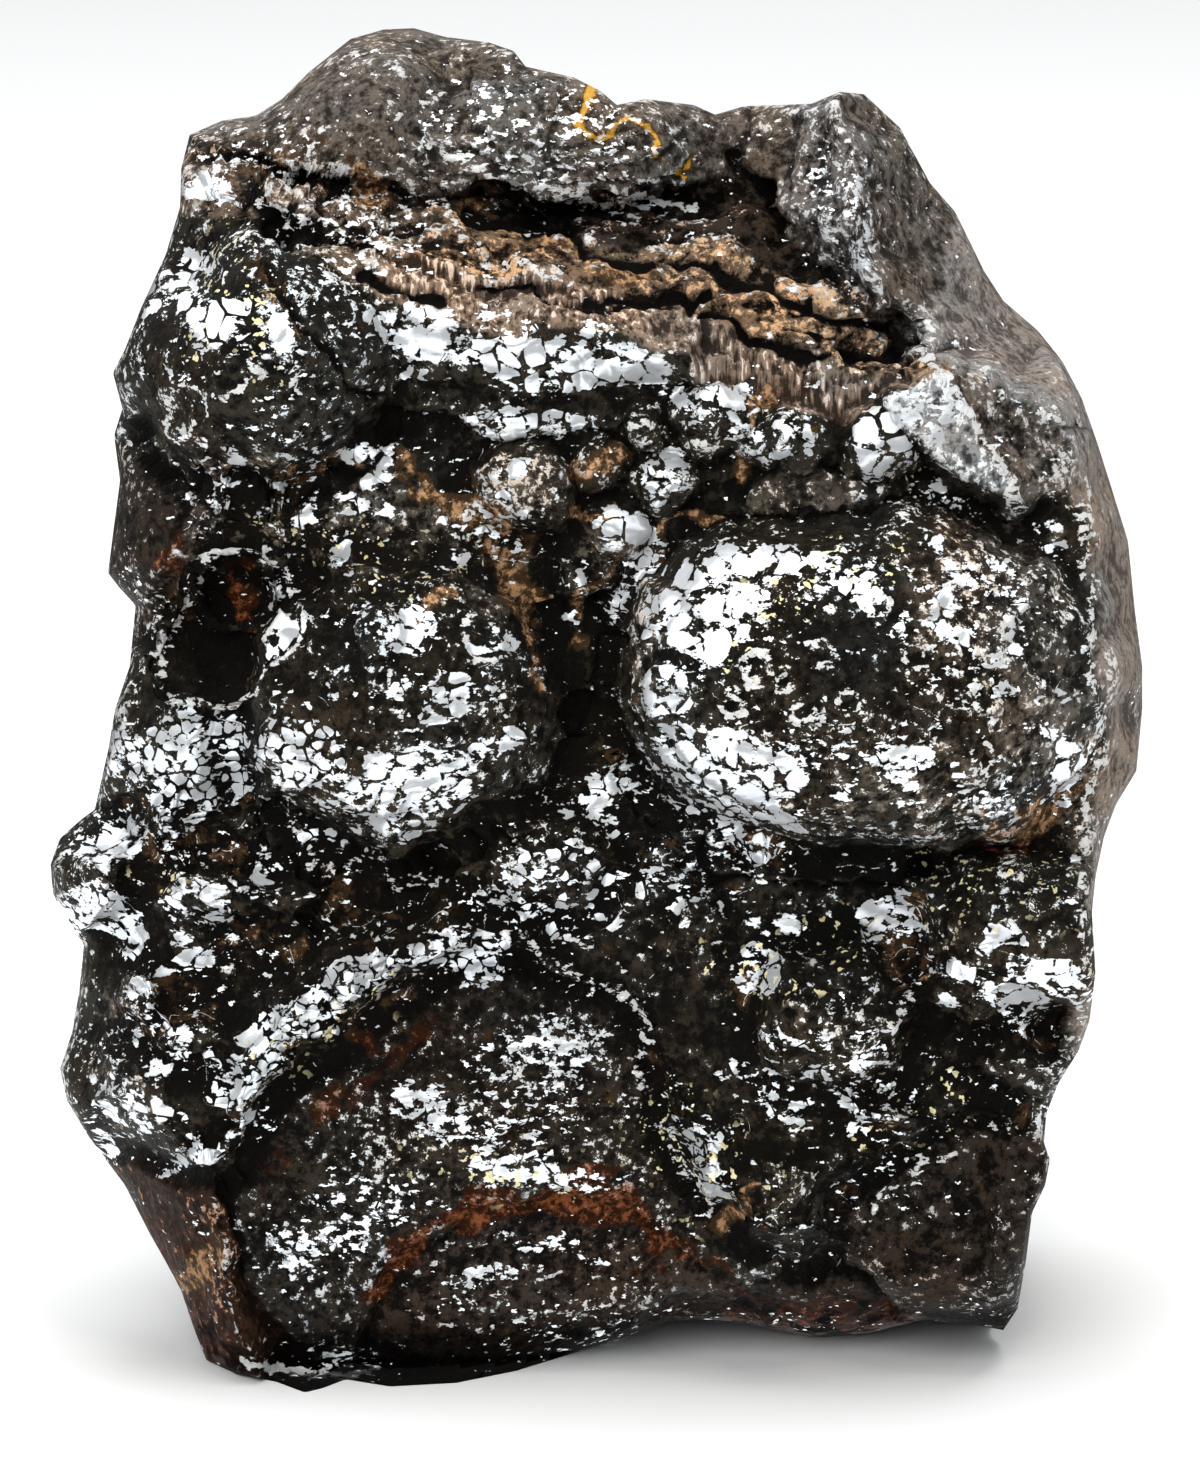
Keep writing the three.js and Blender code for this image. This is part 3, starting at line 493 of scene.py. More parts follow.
def zones(u, v):
    """Share, from 0 to 1, that each kind of surface has at each place of the face."""
    u, v = wavered(u, v)
    fibre_foot, fibre_top, ledge_top, lip = (
        along(line, u) for line in (FIBRE_FOOT, FIBRE_TOP, LEDGE_TOP, RIND_LIP)
    )
    soft = 0.35
    above_crust = ramp(v - fibre_foot, -soft, soft)
    middle = ramp(u, -22, -15)
    fibre = above_crust * (1 - ramp(v - fibre_top, -soft, soft)) * middle
    ledge = ramp(v - fibre_top, -soft, soft) * (1 - ramp(v - ledge_top, -soft, soft))
    recess = ramp(v - ledge_top, -soft, soft) * (1 - ramp(v - lip, -soft, soft))
    beyond = ramp(signed_distance(CRUST_AREA, u, v), -0.2, 0.5)
    shell = within(SHELL_OPENING, u, v)
    inner = within(INNER_SHELL, u, v)
    foot = within(FOOT_FACET, u, v)
    corner = np.maximum.reduce([within(area, u, v) for area in (CORNER_FACET, UNDERSIDE, SIDE_FACET)])
    shoulder = within(SHOULDER, u, v)
    chip = within(CHIP, u, v)
    broken = np.maximum.reduce([above_crust, shell, foot, corner, shoulder, chip, beyond])
    return {
        "crust": 1 - broken,
        "shell": shell * (1 - inner) * (1 - foot),
        "inner": inner,
        "foot": foot,
        "corner": corner,
        "shoulder": shoulder,
        "chip": chip,
        "fibre": fibre * (1 - beyond),
        "ledge": ledge * (1 - beyond),
        "recess": recess * (1 - beyond),
        "rind": beyond,
        "flank": beyond * ramp(u - 0.25 * (v - 90), 24, 30),
        "broken_top": above_crust * (1 - beyond) * (1 - middle),
        "spur": within(SPUR_FACE, u, v, 0.6),
    }


# ---- the block -----------------------------------------------------------------------------------


def place(u, v, w):
    """Point of the rock, in millimetres, for a place on or behind the face."""
    flare = 1 - w * FLARE
    up = FACE_MIDDLE + (v - FACE_MIDDLE) * flare
    across = u * flare
    back = up * math.sin(LEAN) - w * math.cos(LEAN)
    height = up * math.cos(LEAN) + w * math.sin(LEAN)
    return np.stack(np.broadcast_arrays(across, back, height), axis=-1)


FLOOR_LEVEL = float(place(0.0, 0.0, -FOOT_DEPTH)[2])
ORIGIN = np.array((*BLOCK_MIDDLE, FLOOR_LEVEL))  # where the frame's origin lies in the block


def spaced(edge, count):
    """Evenly spaced points along an edge, its last point left out."""
    points = np.asarray(edge, float)
    lengths = np.concatenate([[0], np.cumsum(np.hypot(*np.diff(points, axis=0).T))])
    at = np.arange(count) / count * lengths[-1]
    return np.stack([np.interp(at, lengths, points[:, 0]), np.interp(at, lengths, points[:, 1])], axis=1)


def patch(ring, columns, rows):
    """Grid of points stretched inside a ring of points, rows from the bottom up."""
    bottom = ring[: columns + 1]
    right = ring[columns : columns + rows + 1]
    top = ring[columns + rows : 2 * columns + rows + 1][::-1]
    left = np.concatenate([ring[2 * columns + rows :], ring[:1]])[::-1]
    s = np.linspace(0, 1, columns + 1)[None, :, None]
    t = np.linspace(0, 1, rows + 1)[:, None, None]
    grid = (1 - t) * bottom[None] + t * top[None] + (1 - s) * left[:, None] + s * right[:, None]
    corners = (1 - s) * (1 - t) * ring[0] + s * (1 - t) * ring[columns]
    return grid - corners - s * t * ring[columns + rows] - (1 - s) * t * ring[2 * columns + rows]


def trim_to_breaks(points):
    """Moves points that lie beyond a flat break onto it."""
    for out, at in BREAKS:
        normal = np.asarray(out, float) / np.linalg.norm(out)
        beyond = np.clip(points @ normal - normal @ np.asarray(at, float), 0, None)
        points = points - beyond[..., None] * normal
    return points


def side_points(edge, back):
    """Ring of points on the sides, behind the outline points (u, v, w).

    back is 0 at the face and 1 at the back.
    """
    u, v, w = edge.T
    waves = np.sin(0.21 * u - 0.16 * v + 5 * back) * np.sin(0.13 * u + 0.24 * v - 3 * back)
    taper = SIDE_TAPER + SIDE_HOLLOWS * (0.5 + 0.5 * waves)
    shrink = 1 - taper * min(1, 3 * back) - (1 - taper - BACK_SCALE) * back ** 4
    back_w = np.minimum((v * math.sin(LEAN) - BLOCK_DEPTH) / math.cos(LEAN), w - 6)
    points = place(
        lerp(SHRINK_CENTRE[0], u, shrink), lerp(SHRINK_CENTRE[1], v, shrink), lerp(w, back_w, back)
    )
    return trim_to_breaks(points)


def grid_ring(columns, rows):
    """Row and column of each point round the edge of a grid, anticlockwise from its first corner."""
    across, up = np.arange(columns), np.arange(rows)
    j = np.concatenate([0 * across, up, np.full(columns, rows), rows - up])
    i = np.concatenate([across, np.full(rows, columns), columns - across, 0 * up])
    return j, i


def grid_quads(index, flip=False):
    """Faces of a grid of point numbers."""
    corners = [index[:-1, :-1], index[:-1, 1:], index[1:, 1:], index[1:, :-1]]
    quads = np.stack(corners, axis=-1).reshape(-1, 4)
    return quads[:, ::-1] if flip else quads


def vertex_normals(points, triangles):
    """Unit normals of the points of a closed mesh."""
    a, b, c = (points[triangles[:, k]] for k in range(3))
    faces = np.cross(b - a, c - a)
    normals = np.zeros_like(points)
    for k in range(3):
        for axis in range(3):
            normals[:, axis] += np.bincount(triangles[:, k], faces[:, axis], len(points))
    return normals / np.maximum(np.linalg.norm(normals, axis=1, keepdims=True), 1e-12)


# Points of the mesh: columns and rows on the face, then the rings of the sides, by how far back each one
# is, with every point of the outline, every second one and every fourth one.
COLUMNS = 240
ROWS = 300
FINE_RINGS = [0.012, 0.027, 0.045, 0.066]
MIDDLE_RINGS = list(np.linspace(0.09, 0.94, 21))
COARSE_RINGS = [0.975, 1.0]
BACK_SWELL = 4  # how far the middle of the back swells out, in millimetres


def build_mesh():
    """Points, faces and the places they come from: u, v and how far back on the sides."""
    edges = ((BOTTOM_EDGE, COLUMNS), (RIGHT_EDGE, ROWS), (TOP_EDGE, COLUMNS), (LEFT_EDGE, ROWS))
    outline = np.concatenate([spaced(edge, count) for edge, count in edges])
    grid = patch(outline, COLUMNS, ROWS)
    u, v = grid[..., 0], grid[..., 1]
    points = [place(u, v, face(u, v)).reshape(-1, 3)]
    places = [np.concatenate([grid.reshape(-1, 2), np.zeros((u.size, 1))], axis=1)]
    index = np.arange(u.size).reshape(u.shape)
    faces = [grid_quads(index)]

    ring = index[grid_ring(COLUMNS, ROWS)]
    edge = np.concatenate([outline, face(outline[:, 0], outline[:, 1])[:, None]], axis=1)
    count = u.size
    for rings, step in ((FINE_RINGS, 1), (MIDDLE_RINGS, 2), (COARSE_RINGS, 4)):
        every = edge[::step]
        for back in rings:
            points.append(side_points(every, back))
            places.append(np.column_stack([every[:, :2], np.full(len(every), back)]))
            new = np.arange(count, count + len(every))
            count += len(every)
            following = np.roll(new, -1)
            if len(new) == len(ring):
                faces.append(np.stack([ring, new, following, np.roll(ring, -1)], axis=1))
            else:
                start, middle, end = ring[::2], ring[1::2], np.roll(ring[::2], -1)
                faces.append(np.stack([start, new, middle, middle], axis=1))
                faces.append(np.stack([middle, new, following, following], axis=1))
                faces.append(np.stack([middle, following, end, end], axis=1))
            ring = new

    columns, rows = COLUMNS // 4, ROWS // 4
    back_ring = points[-1]
    back = patch(back_ring, columns, rows)
    s = np.linspace(0, 1, columns + 1)[None, :]
    t = np.linspace(0, 1, rows + 1)[:, None]
    back[..., 1] += BACK_SWELL * np.sin(math.pi * s) * np.sin(math.pi * t)
    back = trim_to_breaks(back)
    uv = patch(edge[::4, :2], columns, rows)
    index = np.full((rows + 1, columns + 1), -1)
    index[grid_ring(columns, rows)] = ring
    new = index < 0
    index[new] = np.arange(count, count + new.sum())
    points.append(back[new])
    places.append(np.column_stack([uv[new], np.full(new.sum(), 1.0)]))
    faces.append(grid_quads(index, flip=True))
    return np.concatenate(points), np.concatenate(faces), np.concatenate(places)


def split_quads(faces):
    """Triangles of the faces, where a face that repeats its last point is one triangle."""
    four = faces[:, 2] != faces[:, 3]
    return np.concatenate([faces[:, [0, 1, 2]], faces[four][:, [0, 2, 3]]])


def cell_relief(points, size, height, seed):
    """Flat-topped growth cells that stand out from the grooves between them."""
    first, second, value = nearest_cells(points / size, seed)
    top = np.clip((second - first) / GROOVE, 0, 1)
    return height * ((1 - (1 - top) ** 2.5) + 0.35 * (1 - first ** 2) + 0.5 * (value - 0.5) * top)


def stepped_cells(points, seed, height, groove):
    """Flat plates, each at its own height, that slope down to the joints between them."""
    first, second, value = nearest_cells(points, seed)
    return height * (value - 0.5) * np.clip((second - first) / groove, 0, 1)


def shell_steps(u, v):
    """Edges of broken shells round the lower left of the great dome and in the lens near the top."""
    waver = value_noise(on_face(u / 5, v / 5), 95)
    cu, cv, half_width, half_height = GREAT_DOME
    r = np.hypot((u - cu) / half_width, (v - cv) / half_height) + 0.012 * waver
    lower_left = ramp(-(u - cu) / half_width - 0.8 * (v - cv) / half_height, 0.25, 0.8)
    dome_steps = sum(ramp(r, at, at + 0.012) for at in (0.78, 0.87, 0.95))
    patchy = value_noise(on_face(u / 2.6, v / 1.8), 96)
    r = np.hypot((u + 4) / 1.5, v - 109) + 1.5 * waver + 0.5 * patchy
    lens = within(LENS_AREA, u, v, 1.0) * ramp(patchy, -0.7, 0.3)
    lens_steps = r / 1.9 - np.floor(r / 1.9)
    return -0.55 * lower_left * dome_steps, lens * (lens_steps ** 2 - 0.3)


def scattered(count, seed, low, high):
    """Random places on the face with a radius each."""
    random = np.random.default_rng(seed)
    places = random.uniform((-45, 18), (44, 88), (count, 2))
    return np.column_stack([places, random.uniform(low, high, count)])


def ring_outlines():
    """Open rings along the rims of the ring-shaped growths, as lines for near_lines; painted highlight lines
    are laid along them.
    """
    lines = []
    for number, (cu, cv, radius, _) in enumerate(RING_GROWTHS):
        angles = np.radians(np.linspace(0, 290, 12) + 67 * number)
        lines.append((list(zip(cu + radius * np.cos(angles), cv + radius * np.sin(angles))), 0.15, 0.95))
    return lines


def small_growths(u, v):
    """Height of the small rings and knobs that sit on the crust."""
    rings = RING_GROWTHS + [(cu, cv, radius, 0.16) for cu, cv, radius in scattered(150, 5, 0.5, 1.2)]
    knobs = KNOBS + [(cu, cv, radius, 0.35 * radius) for cu, cv, radius in scattered(230, 6, 0.5, 1.7)]
    height = np.zeros_like(u)
    for cu, cv, radius, rise in knobs:
        near = (np.abs(u - cu) < radius) & (np.abs(v - cv) < radius)
        r = np.hypot(u[near] - cu, v[near] - cv) / radius
        height[near] = np.maximum(height[near], rise * np.clip(1 - r * r, 0, None) ** 0.6)
    for cu, cv, radius, rise in rings:
        near = (np.abs(u - cu) < 1.8 * radius) & (np.abs(v - cv) < 1.8 * radius)
        r = np.hypot(u[near] - cu, v[near] - cv) / radius
        height[near] += rise * (np.exp(-(((r - 1) / 0.28) ** 2)) - 0.5 * np.clip(1 - r, 0, 1))
    return height


def fine_relief(points, places, kinds, drawn, inset):
    """Distance that each point is pushed out along the surface, in millimetres."""
    u, v, back = places.T
    on_side = ramp(back, 0.0, 0.09)
    cells = cell_relief(points, 1.9, 0.16, 71)
    broad = cell_relief(points, 3.1, 0.3, 72)
    rough = layered_noise(points / 2.2, 81, 4, 0.6)
    lumps = layered_noise(points / 9, 82, 3)
    ridged = 1 - np.abs(layered_noise(points / 6, 83, 3))

    mirror = ramp(drawn["polish_and_highlight"], 0.7, 0.95) * (1 - drawn["celled"])
    dome_steps, lens_steps = shell_steps(u, v)
    calm = 1 - 0.9 * np.maximum(mirror, drawn["celled"])
    crust_relief = calm * (1.25 * cells + 0.12 * rough) + small_growths(u, v) + dome_steps
    band = within(BLACK_BAND, u, v, 1.5)
    crust_relief = lerp(crust_relief, broad + 0.1 * rough, band)
    scales = cell_relief(points * (0.7, 1, 1.6), 1.3, 0.16, 73) + 0.4 * rough + 0.4 * lumps
    fibres = layered_noise(on_face(u / 0.5, v / 9), 84, 3)
    height = kinds["crust"] * crust_relief + kinds["shell"] * scales
    height += kinds["inner"] * (1.4 * scales + 0.4 * lumps)
    height += kinds["fibre"] * (0.18 * fibres + 0.25 * rough)
    blocky = stepped_cells(points * (0.3, 0.5, 0.75), 93, 1.5, 0.3)
    height += (kinds["ledge"] + kinds["recess"]) * (0.5 * rough + 0.5 * lumps + blocky)
    height += (kinds["corner"] + kinds["foot"] + kinds["shoulder"]) * (0.4 * rough + 0.5 * lumps)
    height += kinds["chip"] * 0.2 * rough
    steps = 0.35 * np.abs((1.4 * lumps + 0.15 * rough) % 0.5 - 0.25)
    rind_relief = lerp(0.4 * rough + 0.7 * lumps + steps, 0.18 * rough + 0.9 * ridged, kinds["flank"])
    height += kinds["rind"] * rind_relief + lens_steps
    nearest, _, value = nearest_cells(points / 3.6, 92)
    hackly = 1.2 * (value - 0.6) + 0.9 * (nearest - 0.5)
    height += kinds["broken_top"] * (1.2 * (ridged - 0.8) + 0.5 * rough + hackly)
    streaks = layered_noise(on_face((u - 0.1 * v) / 1.1, v / 8), 86, 3)
    height += kinds["spur"] * 0.45 * streaks
    height += 0.35 * ramp(near_lines(CRESTS, u, v, CREST_REACH), 0.6, 0.95) - 0.8 * drawn["crevice"]
    plates = stepped_cells(points / 8, 91, 1.3, 0.25)
    side = 1.6 * lumps + 0.7 * (ridged - 0.9) + 0.3 * rough + plates - 0.6
    silhouette = 1 - np.exp(-((np.clip(inset, 0, None) / 0.8) ** 2))
    return np.where(back > 0, on_side * side, silhouette * height)


def above_surroundings(grid, rounds):
    """How far each point of a grid stands out from the average of its surroundings."""
    rows, columns = grid.shape[:2]
    smooth = grid
    for _ in range(rounds):
        padded = np.pad(smooth, ((1, 1), (1, 1), (0, 0)), mode="edge")
        smooth = sum(padded[a : a + rows, b : b + columns] for a in range(3) for b in range(3)) / 9
    return grid - smooth


def shape_specimen():
    """Points, faces and surface masks of the finished specimen, in millimetres."""
    points, faces, places = build_mesh()
    triangles = split_quads(faces)
    u, v, back = places.T
    side = ramp(back, 0.03, 0.1)
    kinds = {name: share * (1 - side) for name, share in zones(u, v).items()}
    drawn = {name: near_lines(lines, u, v) for name, lines in DRAWN_LINES.items()}
    drawn["crest"] = near_lines(CRESTS + ring_outlines(), u, v, CREST_REACH)
    drawn["polish_and_highlight"] = near_ellipses(POLISHED, u, v)
    drawn["celled"] = near_ellipses(CELLED, u, v)
    inset = -signed_distance(OUTLINE, u, v)
    normals = vertex_normals(points, triangles)
    facing = normals[:, 2] * math.sin(LEAN) - normals[:, 1] * math.cos(LEAN)
    relief = fine_relief(points, places, kinds, drawn, inset)
    relief = relief * ramp(points[:, 2] - FLOOR_LEVEL, 0.0, 2.5)
    points = points + normals * relief[:, None]
    points[:, 2] = np.maximum(points[:, 2], FLOOR_LEVEL)
    normals = vertex_normals(points, triangles)
    masks = kinds | {name: drawn[name] * (back < 0.05) for name in (*DRAWN_LINES, "crest")}
    # Steep walls of the domes that turn away from the front keep little of the painted highlight of the
    # polish.
    walls = (1 - ramp(facing, 0.28, 0.5)) * ramp(inset, 3, 7) * ramp(v, 38, 43)
    masks["side"] = side
    masks["polish_and_highlight"] = drawn["polish_and_highlight"] * (1 - side) * (1 - 0.85 * walls)
    masks["celled"] = drawn["celled"] * (1 - side)
    masks["weathered"] = near_ellipses(WEATHERED, u, v) * kinds["crust"]
    front = (ROWS + 1) * (COLUMNS + 1)
    grid = points[:front].reshape(ROWS + 1, COLUMNS + 1, 3)
    # How far each point stands out from its surroundings; the material paints shade into the hollows and
    # highlights onto the edges from it.
    for name, rounds in (("fine_edge", 4), ("broad_edge", 40)):
        stand = above_surroundings(grid, rounds).reshape(-1, 3)
        masks[name] = np.zeros(len(points))
        masks[name][:front] = np.einsum("ij,ij->i", stand, normals[:front])
    tan = ramp(u, -19, -9)
    masks["broken_top"] = np.maximum(masks["broken_top"], masks["ledge"] * (1 - tan))
    masks["ledge"] = masks["ledge"] * tan
    # Painted shade: crust and shells that face up are made darker.
    masks["facing_up"] = (masks["crust"] + masks["shell"]) * ramp(normals[:, 2], -0.2, 0.5)
    # Painted shade near the floor, on low and downward-facing surfaces.
    masks["underside"] = 1 - ramp(points[:, 2] - FLOOR_LEVEL + 2 * (1 + normals[:, 2]), 3.0, 9.0)
    finish = surface_finish(points, masks)
    needed = ("crust", "fibre", "polish_and_highlight", "celled", "fine_edge", "broad_edge", *DRAWN_LINES, "crest")
    masks = {name: masks[name] for name in needed} | finish
    return points - ORIGIN, faces, masks


# ---- places drawn on the face --------------------------------------------------------------------

# Lines: their points (u, v), half width and strength.
OCHRE_LINES = [
    ([(-16, 77), (-12, 73.5), (-8, 70.5), (-6, 67), (-4, 63), (-3, 60)], 0.8, 0.85),
    ([(-3.5, 72.5), (-1.5, 74), (1, 74.5)], 0.5, 0.9),
    ([(-15, 66), (-12, 67.3)], 0.7, 1.0),
    ([(-27, 76), (-20, 77), (-14, 74)], 0.6, 0.8),
    ([(11, 75.5), (12.5, 79), (14.5, 82)], 0.9, 0.9),
    ([(4, 70.5), (6, 72), (8.5, 73), (11, 73)], 0.6, 0.85),
    ([(-1.5, 63), (0, 66), (2, 70)], 0.6, 0.7),
    ([(11, 13), (12, 15), (13, 17)], 0.35, 1.0),
    ([(33, 48), (37, 47.5), (40, 50)], 0.7, 0.8),
    ([(-35, 9.5), (-33, 11)], 1.2, 0.9),
    ([(-20, 101.5), (-17.5, 99.8)], 0.8, 0.9),
    ([(0, 77.5), (1.2, 78.4)], 0.8, 0.9),
    ([(-29, 96), (-26.5, 93), (-25, 89.5)], 0.6, 0.6),
    ([(-38, 100), (-30, 101), (-24, 104)], 0.7, 0.6),
    ([(-12.5, 99), (-9, 97.6), (-5, 96.2), (0, 94.9), (5, 93.8)], 0.6, 0.9),
    ([(27, 36), (26, 33)], 0.5, 0.7),
]
RUST_LINES = [
    ([(-18.5, 8.5), (-17.5, 10.5), (-15, 12.8), (-12, 14.2), (-10, 15.5), (-7, 16.2), (-3, 16.3),
      (-1.3, 16.8), (1, 16), (3, 14.5)], 1.0, 0.95),
    ([(3, 14.5), (5, 12.7), (7, 11.8), (9, 10), (12, 8.7), (14, 7.7)], 0.7, 0.7),
    ([(-3, 15.6), (1, 14.6), (4, 12.4)], 1.2, 0.85),
    ([(-30, 15.5), (-27, 19), (-25, 21.8), (-21, 25.6), (-16.5, 29), (-13.5, 31.4)], 0.9, 0.5),
    ([(-38, 14), (-35, 9), (-33, 4)], 1.8, 0.6),
    ([(-31, 65.8), (-30.8, 66.6)], 0.7, 1.0),
    ([(-36.6, 68.5), (-36, 71.5)], 0.8, 0.8),
    ([(12, 5.5), (19, 6), (26, 5.5)], 1.0, 0.6),
    ([(33, 46), (36, 45)], 0.5, 0.9),
]
# Crevices: shallow cracks, painted black as shade.
CREVICES = [
    ([(2.5, 68), (0.4, 63.5), (-0.6, 59), (-0.3, 54), (1.6, 49.8), (5, 46), (9.5, 43.6), (15, 42.6),
      (21, 42.8), (27, 43.6)], 0.22, 0.9),
    ([(-31, 50), (-29, 46.6), (-25, 44.2), (-20, 42.7), (-15, 42.4), (-10.5, 44), (-6, 48)], 0.2, 0.9),
    ([(-43.5, 49.4), (-39, 48), (-34, 48.2), (-31, 50)], 0.2, 0.9),
    ([(-12, 98.3), (-6, 97.2), (0, 95.6), (5, 94.6)], 0.4, 1.0),
    ([(-2, 92.4), (4, 91.6), (10, 91)], 0.35, 1.0),
    ([(8, 90.2), (12, 88.5), (17, 87.5), (19, 85.8), (22, 86.5), (25.5, 87)], 0.5, 1.0),
    ([(21, 86), (24, 86.2)], 1.2, 1.0),
    ([(-10, 92.6), (-2, 91.6), (4, 90.4)], 0.3, 0.9),
    ([(7, 94.4), (12, 92), (18, 90.6), (23, 88.4)], 0.4, 0.9),
    ([(-29, 99.5), (-27, 98.5)], 1.5, 1.0),
    ([(-25.5, 97), (-23, 96.2)], 1.2, 1.0),
    ([(-19, 93.5), (-14, 91.5)], 0.6, 1.0),
    ([(-28, 95), (-25.5, 92), (-24, 89), (-21, 85.5), (-18, 82)], 0.3, 0.8),
    ([(-39.8, 79.5), (-37, 76.5), (-34, 74.8), (-29, 74.3), (-24, 75), (-19, 77),
      (-17, 79.5)], 0.45, 0.8),
    ([(12, 103), (14, 100), (15.5, 97)], 0.4, 0.8),
    ([(5.0, 76.4), (5.9, 76.7)], 0.7, 1.0),
]
# Sharp crests, raised a little and painted with highlight lines.
CRESTS = [
    ([(-29.3, 99.2), (-24.8, 102.4), (-23.3, 105.4), (-17.9, 104.2), (-15.9, 101.2), (-13, 97.7),
      (-9.5, 94.3), (-2.6, 93)], 0.28, 0.93),
    ([(-14, 104.7), (-11, 102.2), (-7.5, 100.5), (-1.6, 99.7), (3.8, 99.5), (7.8, 99.6)], 0.28, 1.0),
    ([(-16.9, 105.4), (-15.4, 106.9), (-13, 107.9)], 0.25, 0.9),
    ([(-9.2, 104.7), (-6.7, 101.7)], 0.25, 0.8),
    ([(-9.5, 107.6), (-4.6, 107.3)], 0.22, 0.8),
    ([(-29.5, 104.5), (-33, 103)], 0.25, 0.7),
    ([(-11.5, 98.5), (-7.5, 97.2), (-3.4, 96.9)], 0.3, 0.8),
    ([(-26.8, 97.5), (-24.8, 98), (-23.2, 97)], 0.22, 0.9),
    ([(-24.5, 95.4), (-21.5, 93.6)], 0.22, 0.9),
    ([(26.4, 85.4), (29, 84.4), (31.4, 80.5), (35, 76)], 0.25, 1.0),
    ([(39.2, 76), (40.2, 70), (41, 62), (41.4, 54.5), (40.2, 47), (39.8, 40), (40.2, 34),
      (39.6, 28.6)], 0.22, 0.9),
    ([(35.4, 21.8), (31, 21), (27, 19), (24.3, 17), (22.6, 14)], 0.22, 0.88),
    ([(-35.2, 81), (-33.4, 76.5), (-34.6, 71)], 0.25, 0.9),
    ([(3, 31.5), (3.6, 27), (4.2, 22), (6.4, 18), (9.6, 13.8)], 0.2, 0.9),
    ([(-2, 44.5), (4, 43.5), (9, 41)], 0.2, 0.6),
    ([(20, 92.8), (22.8, 88), (24.4, 84.6)], 0.25, 0.8),
    ([(-27.5, 49.5), (-26, 46.5), (-22.5, 44), (-18, 42.4), (-13, 43)], 0.18, 0.9),
    ([(-31.2, 16), (-29, 11), (-26, 5)], 0.22, 0.6),
    ([(-15.9, 9.2), (-12.5, 12.4), (-6.8, 13.6), (-1.1, 12.8), (1.8, 11.2)], 0.2, 0.8),
    ([(-10.2, 8.6), (-5.7, 9.8), (2.3, 10)], 0.2, 0.8),
    ([(-14.8, 6.3), (-9.6, 6), (-3.4, 7.1), (3.5, 7.7)], 0.2, 0.85),
    ([(-11.3, 3.6), (-4.5, 4.3), (0, 5.4)], 0.2, 0.8),
    ([(-30, 2.5), (-26, 1.6), (-23, 1.4), (-19, 2.4)], 0.3, 1.0),
    ([(-12.4, 36.2), (-8, 37.4), (-3.4, 35.4), (0, 33.8), (2.4, 31.6)], 0.22, 1.0),
    ([(-2.6, 37.8), (1.5, 35.6), (5, 32.8)], 0.2, 0.9),
    ([(-34.6, 65.4), (-36.5, 63.4), (-36.6, 60.4), (-35, 58.2), (-32.4, 57.4),
      (-30.2, 58.6)], 0.2, 1.0),
    ([(-33.2, 67.2), (-32.4, 69), (-30.2, 69.3), (-28.2, 68), (-27.8, 65.6), (-28.8, 63.6)], 0.2, 1.0),
    ([(-28.4, 69.6), (-26.2, 68.2), (-25.2, 65.6), (-26.2, 62.8), (-28.2, 60.6),
      (-29.2, 58.6)], 0.2, 0.95),
]
VEIN_LINES = [
    ([(-1, 109.4), (-1.4, 107.6), (-1.2, 106.4)], 0.3, 1.3),
    ([(-0.6, 106), (1.6, 105.8), (3.2, 105), (4.8, 104.2), (5.9, 102.9), (6.3, 102)], 0.28, 1.3),
    ([(6.2, 102.6), (7.6, 103)], 0.25, 1.3),
]
# Clusters of small warm glints, painted as colour.
GLINT_LINES = [
    ([(-33, 88), (-30.5, 94)], 2.2, 1), ([(-29.5, 92), (-29, 86)], 1.8, 1),
    ([(-29, 72), (-20, 70), (-13, 68)], 1.6, 1), ([(11, 60), (14, 67), (20, 69)], 1.8, 1),
    ([(16, 66), (24, 68)], 1.2, 1), ([(-28, 27), (-22, 31)], 1.4, 1), ([(-20, 32), (-16, 34)], 1.2, 1),
    ([(5, 22), (8, 17), (12, 18)], 2.2, 1), ([(13.5, 80.5), (17.5, 79.5)], 0.9, 1),
    ([(24, 78), (26, 77)], 1.0, 1), ([(22, 21), (29, 24)], 1.6, 1), ([(-14, 20), (-4, 18)], 1.5, 1),
    ([(28, 41), (38, 44)], 1.8, 1),
    ([(9, 35), (20, 37)], 1.6, 1), ([(-41, 45), (-39, 43)], 1.2, 1),
]
DRAWN_LINES = {
    "rust": RUST_LINES, "ochre": OCHRE_LINES, "vein": VEIN_LINES, "glints": GLINT_LINES,
    "crevice": CREVICES,
}
